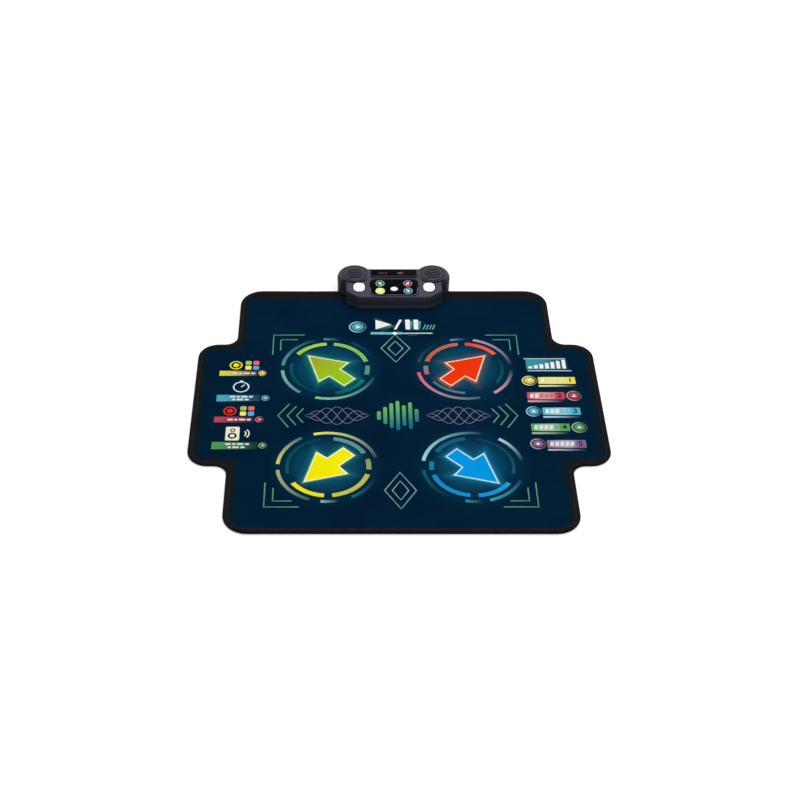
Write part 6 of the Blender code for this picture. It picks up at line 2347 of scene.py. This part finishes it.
@dataclass(frozen=True)
class Fittings:
    """The battery door, the power switch and the finishes of what the console holds."""

    pin_length: float = 0.0024
    pin_radius: float = 0.0008
    grip: tuple[float, float, float] = (0.0100, 0.0060, 0.0020)       # half its width, and its depths below the top
    ridges: int = 3
    ridge: tuple[float, float, float] = (0.0080, 0.0004, 0.0016)      # half its length, half its width, and the pitch

    def door(self) -> None:
        """Builds the door from its section, with its pins, a finger grip and ridges under it."""
        low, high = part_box("battery_door")
        half, thick = high.x - self.pin_length, high.y - low.y
        axis_y, axis_z = (low.y + high.y) / 2, low.z + thick / 2
        turns = [math.pi + math.pi * k / 10 for k in range(11)]
        section = [(thick / 2 * math.cos(a), thick / 2 * math.sin(a)) for a in turns]
        section += [(thick / 2, high.z - axis_z), (-thick / 2, high.z - axis_z)]
        door = thicken(drawn("battery_cover", section, -half), 2 * half)
        upright = Matrix(((0, 0, 1, 0), (1, 0, 0, 0), (0, 1, 0, 0), (0, 0, 0, 1)))
        put(door, Matrix.Translation((0, axis_y, axis_z)) @ upright)
        back = axis_y + thick / 2
        wide, deep, shallow = self.grip
        pocket = slab("grip", (-wide, high.z - deep), (wide, high.z - shallow), 0.0015, 4)
        carve(door, put(thicken(pocket, 0.003), self.facing_back(back - 0.0010)))
        soften(door, 0.0003)
        ridges = []
        long, slim, pitch = self.ridge
        for k in range(self.ridges):
            z = high.z - 0.0085 - k * pitch
            ridge = thicken(slab("ridge", (-long, z - slim), (long, z + slim), 0.00035, 3, -0.0003), 0.0005)
            ridges.append(put(ridge, self.facing_back(back)))
        pins = rod("pins", self.pin_radius, 2 * high.x - 0.0001, (0, axis_y, axis_z))
        carve(door, soften(pins, 0.0002), operation="UNION")
        mount(combine("battery_cover", [door, *ridges]), Look.CASE, "case", body="battery_door",
              stands_for=["battery_door"])

    @staticmethod
    def facing_back(y: float) -> Matrix:
        """Turns a flat shape so that it faces backwards at a place along Y."""
        return Matrix(((-1, 0, 0, 0), (0, 0, 1, y), (0, 1, 0, 0), (0, 0, 0, 1)))

    def slider(self) -> None:
        """Builds the power switch's ribbed thumb piece."""
        low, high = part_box("power_switch_slider")
        wide, rib = high.x - low.x, 0.0005
        points = [(low.x, low.y), (high.x, low.y), (high.x, high.y - rib)]
        for k in range(4):
            right = high.x - wide * (k + 0.15) / 4
            points += [(right, high.y), (right - wide * 0.14, high.y), (right - wide * 0.17, high.y - rib)]
        points[-1] = (low.x, high.y - rib)
        piece = thicken(drawn("switch_thumb", points, low.z), high.z - low.z)
        mount(soften(piece, 0.00012), Look.DARK, "black_plastic", body="power_switch",
              stands_for=["power_switch_slider"])

    def jack(self) -> None:
        """Builds the plated ring round the jack's mouth."""
        low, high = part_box("audio_jack")
        mouth, z = high.y, (low.z + high.z) / 2
        profile = [(0.0018, 0.0), (0.0018, 0.0003), (0.0022, 0.0005), (0.0027, 0.0004), (0.0029, 0.0), (0.0018, 0.0)]
        ring = lathe("jack_ring", profile, (0.0, 0.0), 48)
        put(ring, Matrix.Translation((POD_X, mouth - 0.0001, z)) @ Matrix.Rotation(-math.pi / 2, 4, "X"))
        mount(ring, Look.STEEL, "steel")

    def cells(self) -> None:
        """Builds the four round cells with their caps and wrapper edges."""
        for k in range(4):
            low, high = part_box(f"battery_{k + 1}")
            length, radius = high.x - low.x, (high.z - low.z) / 2
            body = length - 0.0013
            profile = [(0.0, length), (0.0024, length), (0.0027, length - 0.0003), (0.0027, body + 0.0001),
                       (0.0052, body - 0.0002), (radius - 0.0004, body), (radius, body - 0.0005), (radius, 0.0005),
                       (radius - 0.0005, 0.0), (0.0040, 0.0), (0.0038, 0.0002), (0.0, 0.0002)]
            cell = lathe(f"cell_{k + 1}", profile, (0.0, 0.0), 48)
            turn = 1 if k < 2 else -1
            x = low.x if turn == 1 else high.x
            place = Matrix.Translation((x, (low.y + high.y) / 2, (low.z + high.z) / 2))
            put(cell, place @ Matrix.Rotation(turn * math.pi / 2, 4, "Y"))
            mount(cell, Look.WRAP, "cell", stands_for=[f"battery_{k + 1}"])

    def kept(self) -> None:
        """Dresses the CAD nodes whose shapes stay."""
        finishes = {
            Look.STEEL: ("clamp_plate", "clamp_screw_left", "clamp_screw_right", "case_screw_left",
                         "case_screw_right"),
            Look.SPRING: ("battery_contact_left", "battery_contact_right", "power_switch_body"),
            Look.DARK: ("speaker_left", "speaker_right", "switch_left", "switch_right", "switch_center",
                        "battery_box", "audio_jack", "display_module"),
            Look.FILM: ("ribbon_tail",),
            Look.BOARD: ("main_board",),
            Look.RUBBER: ("foot_left", "foot_right"),
        }
        for finish, names in finishes.items():
            for name in names:
                dress(frame["nodes"][name], finish)

    def build(self) -> None:
        """Builds the fittings and dresses the rest."""
        self.door()
        self.slider()
        self.jack()
        self.cells()
        self.kept()


@dataclass(frozen=True)
class Studio:
    """A plain white floor, soft light and the photograph's camera."""

    lens: float = 69.2
    shift: float = 0.0633
    tilt: float = 49.3
    eye: tuple[float, float, float] = (-0.1092, -2.2351, 2.2911)   # Y is counted from the mat's front edge
    dome: float = 0.08
    bounce: float = 0.12          # how much of its light the floor sends to the object
    tone: float = 0.66            # the floor's own colour, where its shadow shows
    glow: float = 0.50            # what the floor shines near the object, and twice that far away
    glow_rise: tuple[float, float] = (0.6, 3.0)

    def camera(self) -> None:
        """Sets the camera up."""
        bpy.ops.object.camera_add(location=(self.eye[0], FRONT_Y + self.eye[1], self.eye[2]),
                                  rotation=(math.radians(self.tilt), 0, 0))
        camera = bpy.context.object
        camera.data.lens = self.lens
        camera.data.sensor_width = 36.0
        camera.data.shift_x = self.shift
        bpy.context.scene.camera = camera

    @staticmethod
    def seen(graph: Graph) -> Socket:
        """Tells the rays that look at things from those that light them.

        Args:
            graph: Where the nodes go.

        Returns:
            1 for camera, mirror and glass rays, and 0 for the others.
        """
        rays = graph.node("LightPath")
        most = graph.math("MAXIMUM", rays.outputs["Is Camera Ray"], rays.outputs["Is Glossy Ray"])
        return graph.math("MAXIMUM", most, rays.outputs["Is Transmission Ray"])

    def world(self) -> None:
        """Makes a white surround that lights softly."""
        world = bpy.data.worlds.new("studio")
        bpy.context.scene.world = world
        world.use_nodes = True
        graph = Graph(world.node_tree)
        back = world.node_tree.nodes["Background"]
        back.inputs["Color"].default_value = (1.0, 1.0, 1.0, 1.0)
        graph.feed(back.inputs["Strength"], graph.math("MULTIPLY_ADD", self.seen(graph), 1.0 - self.dome, self.dome))

    def floor(self) -> None:
        """Lays a wide white floor, which keeps the object's shadow."""
        bpy.ops.object.select_all(action="DESELECT")
        bpy.ops.mesh.primitive_plane_add(size=24.0)
        floor = bpy.context.object
        floor.name = "studio_floor"
        finish = bpy.data.materials.new("studio_floor")
        finish.use_nodes = True
        graph = Graph(finish.node_tree)
        shader = finish.node_tree.nodes["Principled BSDF"]
        seen = self.seen(graph)
        graph.feed(shader.inputs["Base Color"], graph.mix(seen, (self.bounce,) * 3, (self.tone,) * 3))
        shader.inputs["Roughness"].default_value = 0.9
        shader.inputs["Specular IOR Level"].default_value = 0.0
        shader.inputs["Emission Color"].default_value = (1.0, 1.0, 1.0, 1.0)
        away = graph.result(graph.node("VectorMath", operation="LENGTH"), {0: graph.place()}, "Value")
        plain = graph.math("MULTIPLY_ADD", graph.ease(away, *self.glow_rise), self.glow, self.glow)
        graph.feed(shader.inputs["Emission Strength"], graph.math("MULTIPLY", seen, plain))
        floor.data.materials.append(finish)

    def lamps(self) -> None:
        """Hangs one wide soft light above the back and a weaker one in front."""
        for name, place, size, power in (("key", (0.25, 0.35, 2.3), 1.8, 53.0), ("fill", (-0.1, -2.3, 1.7), 1.4, 11.0)):
            bpy.ops.object.light_add(type="AREA", location=place)
            light = bpy.context.object
            light.name = name
            light.data.size = size
            light.data.energy = power
            light.rotation_euler = (-Vector(place)).to_track_quat("-Z", "Y").to_euler()

    def build(self) -> None:
        """Sets the studio up."""
        self.camera()
        self.world()
        self.floor()
        self.lamps()
        bpy.context.scene.view_settings.view_transform = "Standard"


def main() -> None:
    """Builds the looks in order and reports each piece."""
    logging.basicConfig(level=logging.INFO, format="%(message)s")
    Studio().build()
    Mat().build()
    print_mat()
    Housing().build()
    for button in buttons():
        button.build()
    Panel().build()
    DisplayStrip().build()
    Grilles().build()
    Fittings().build()


if __name__ == "__main__":
    main()
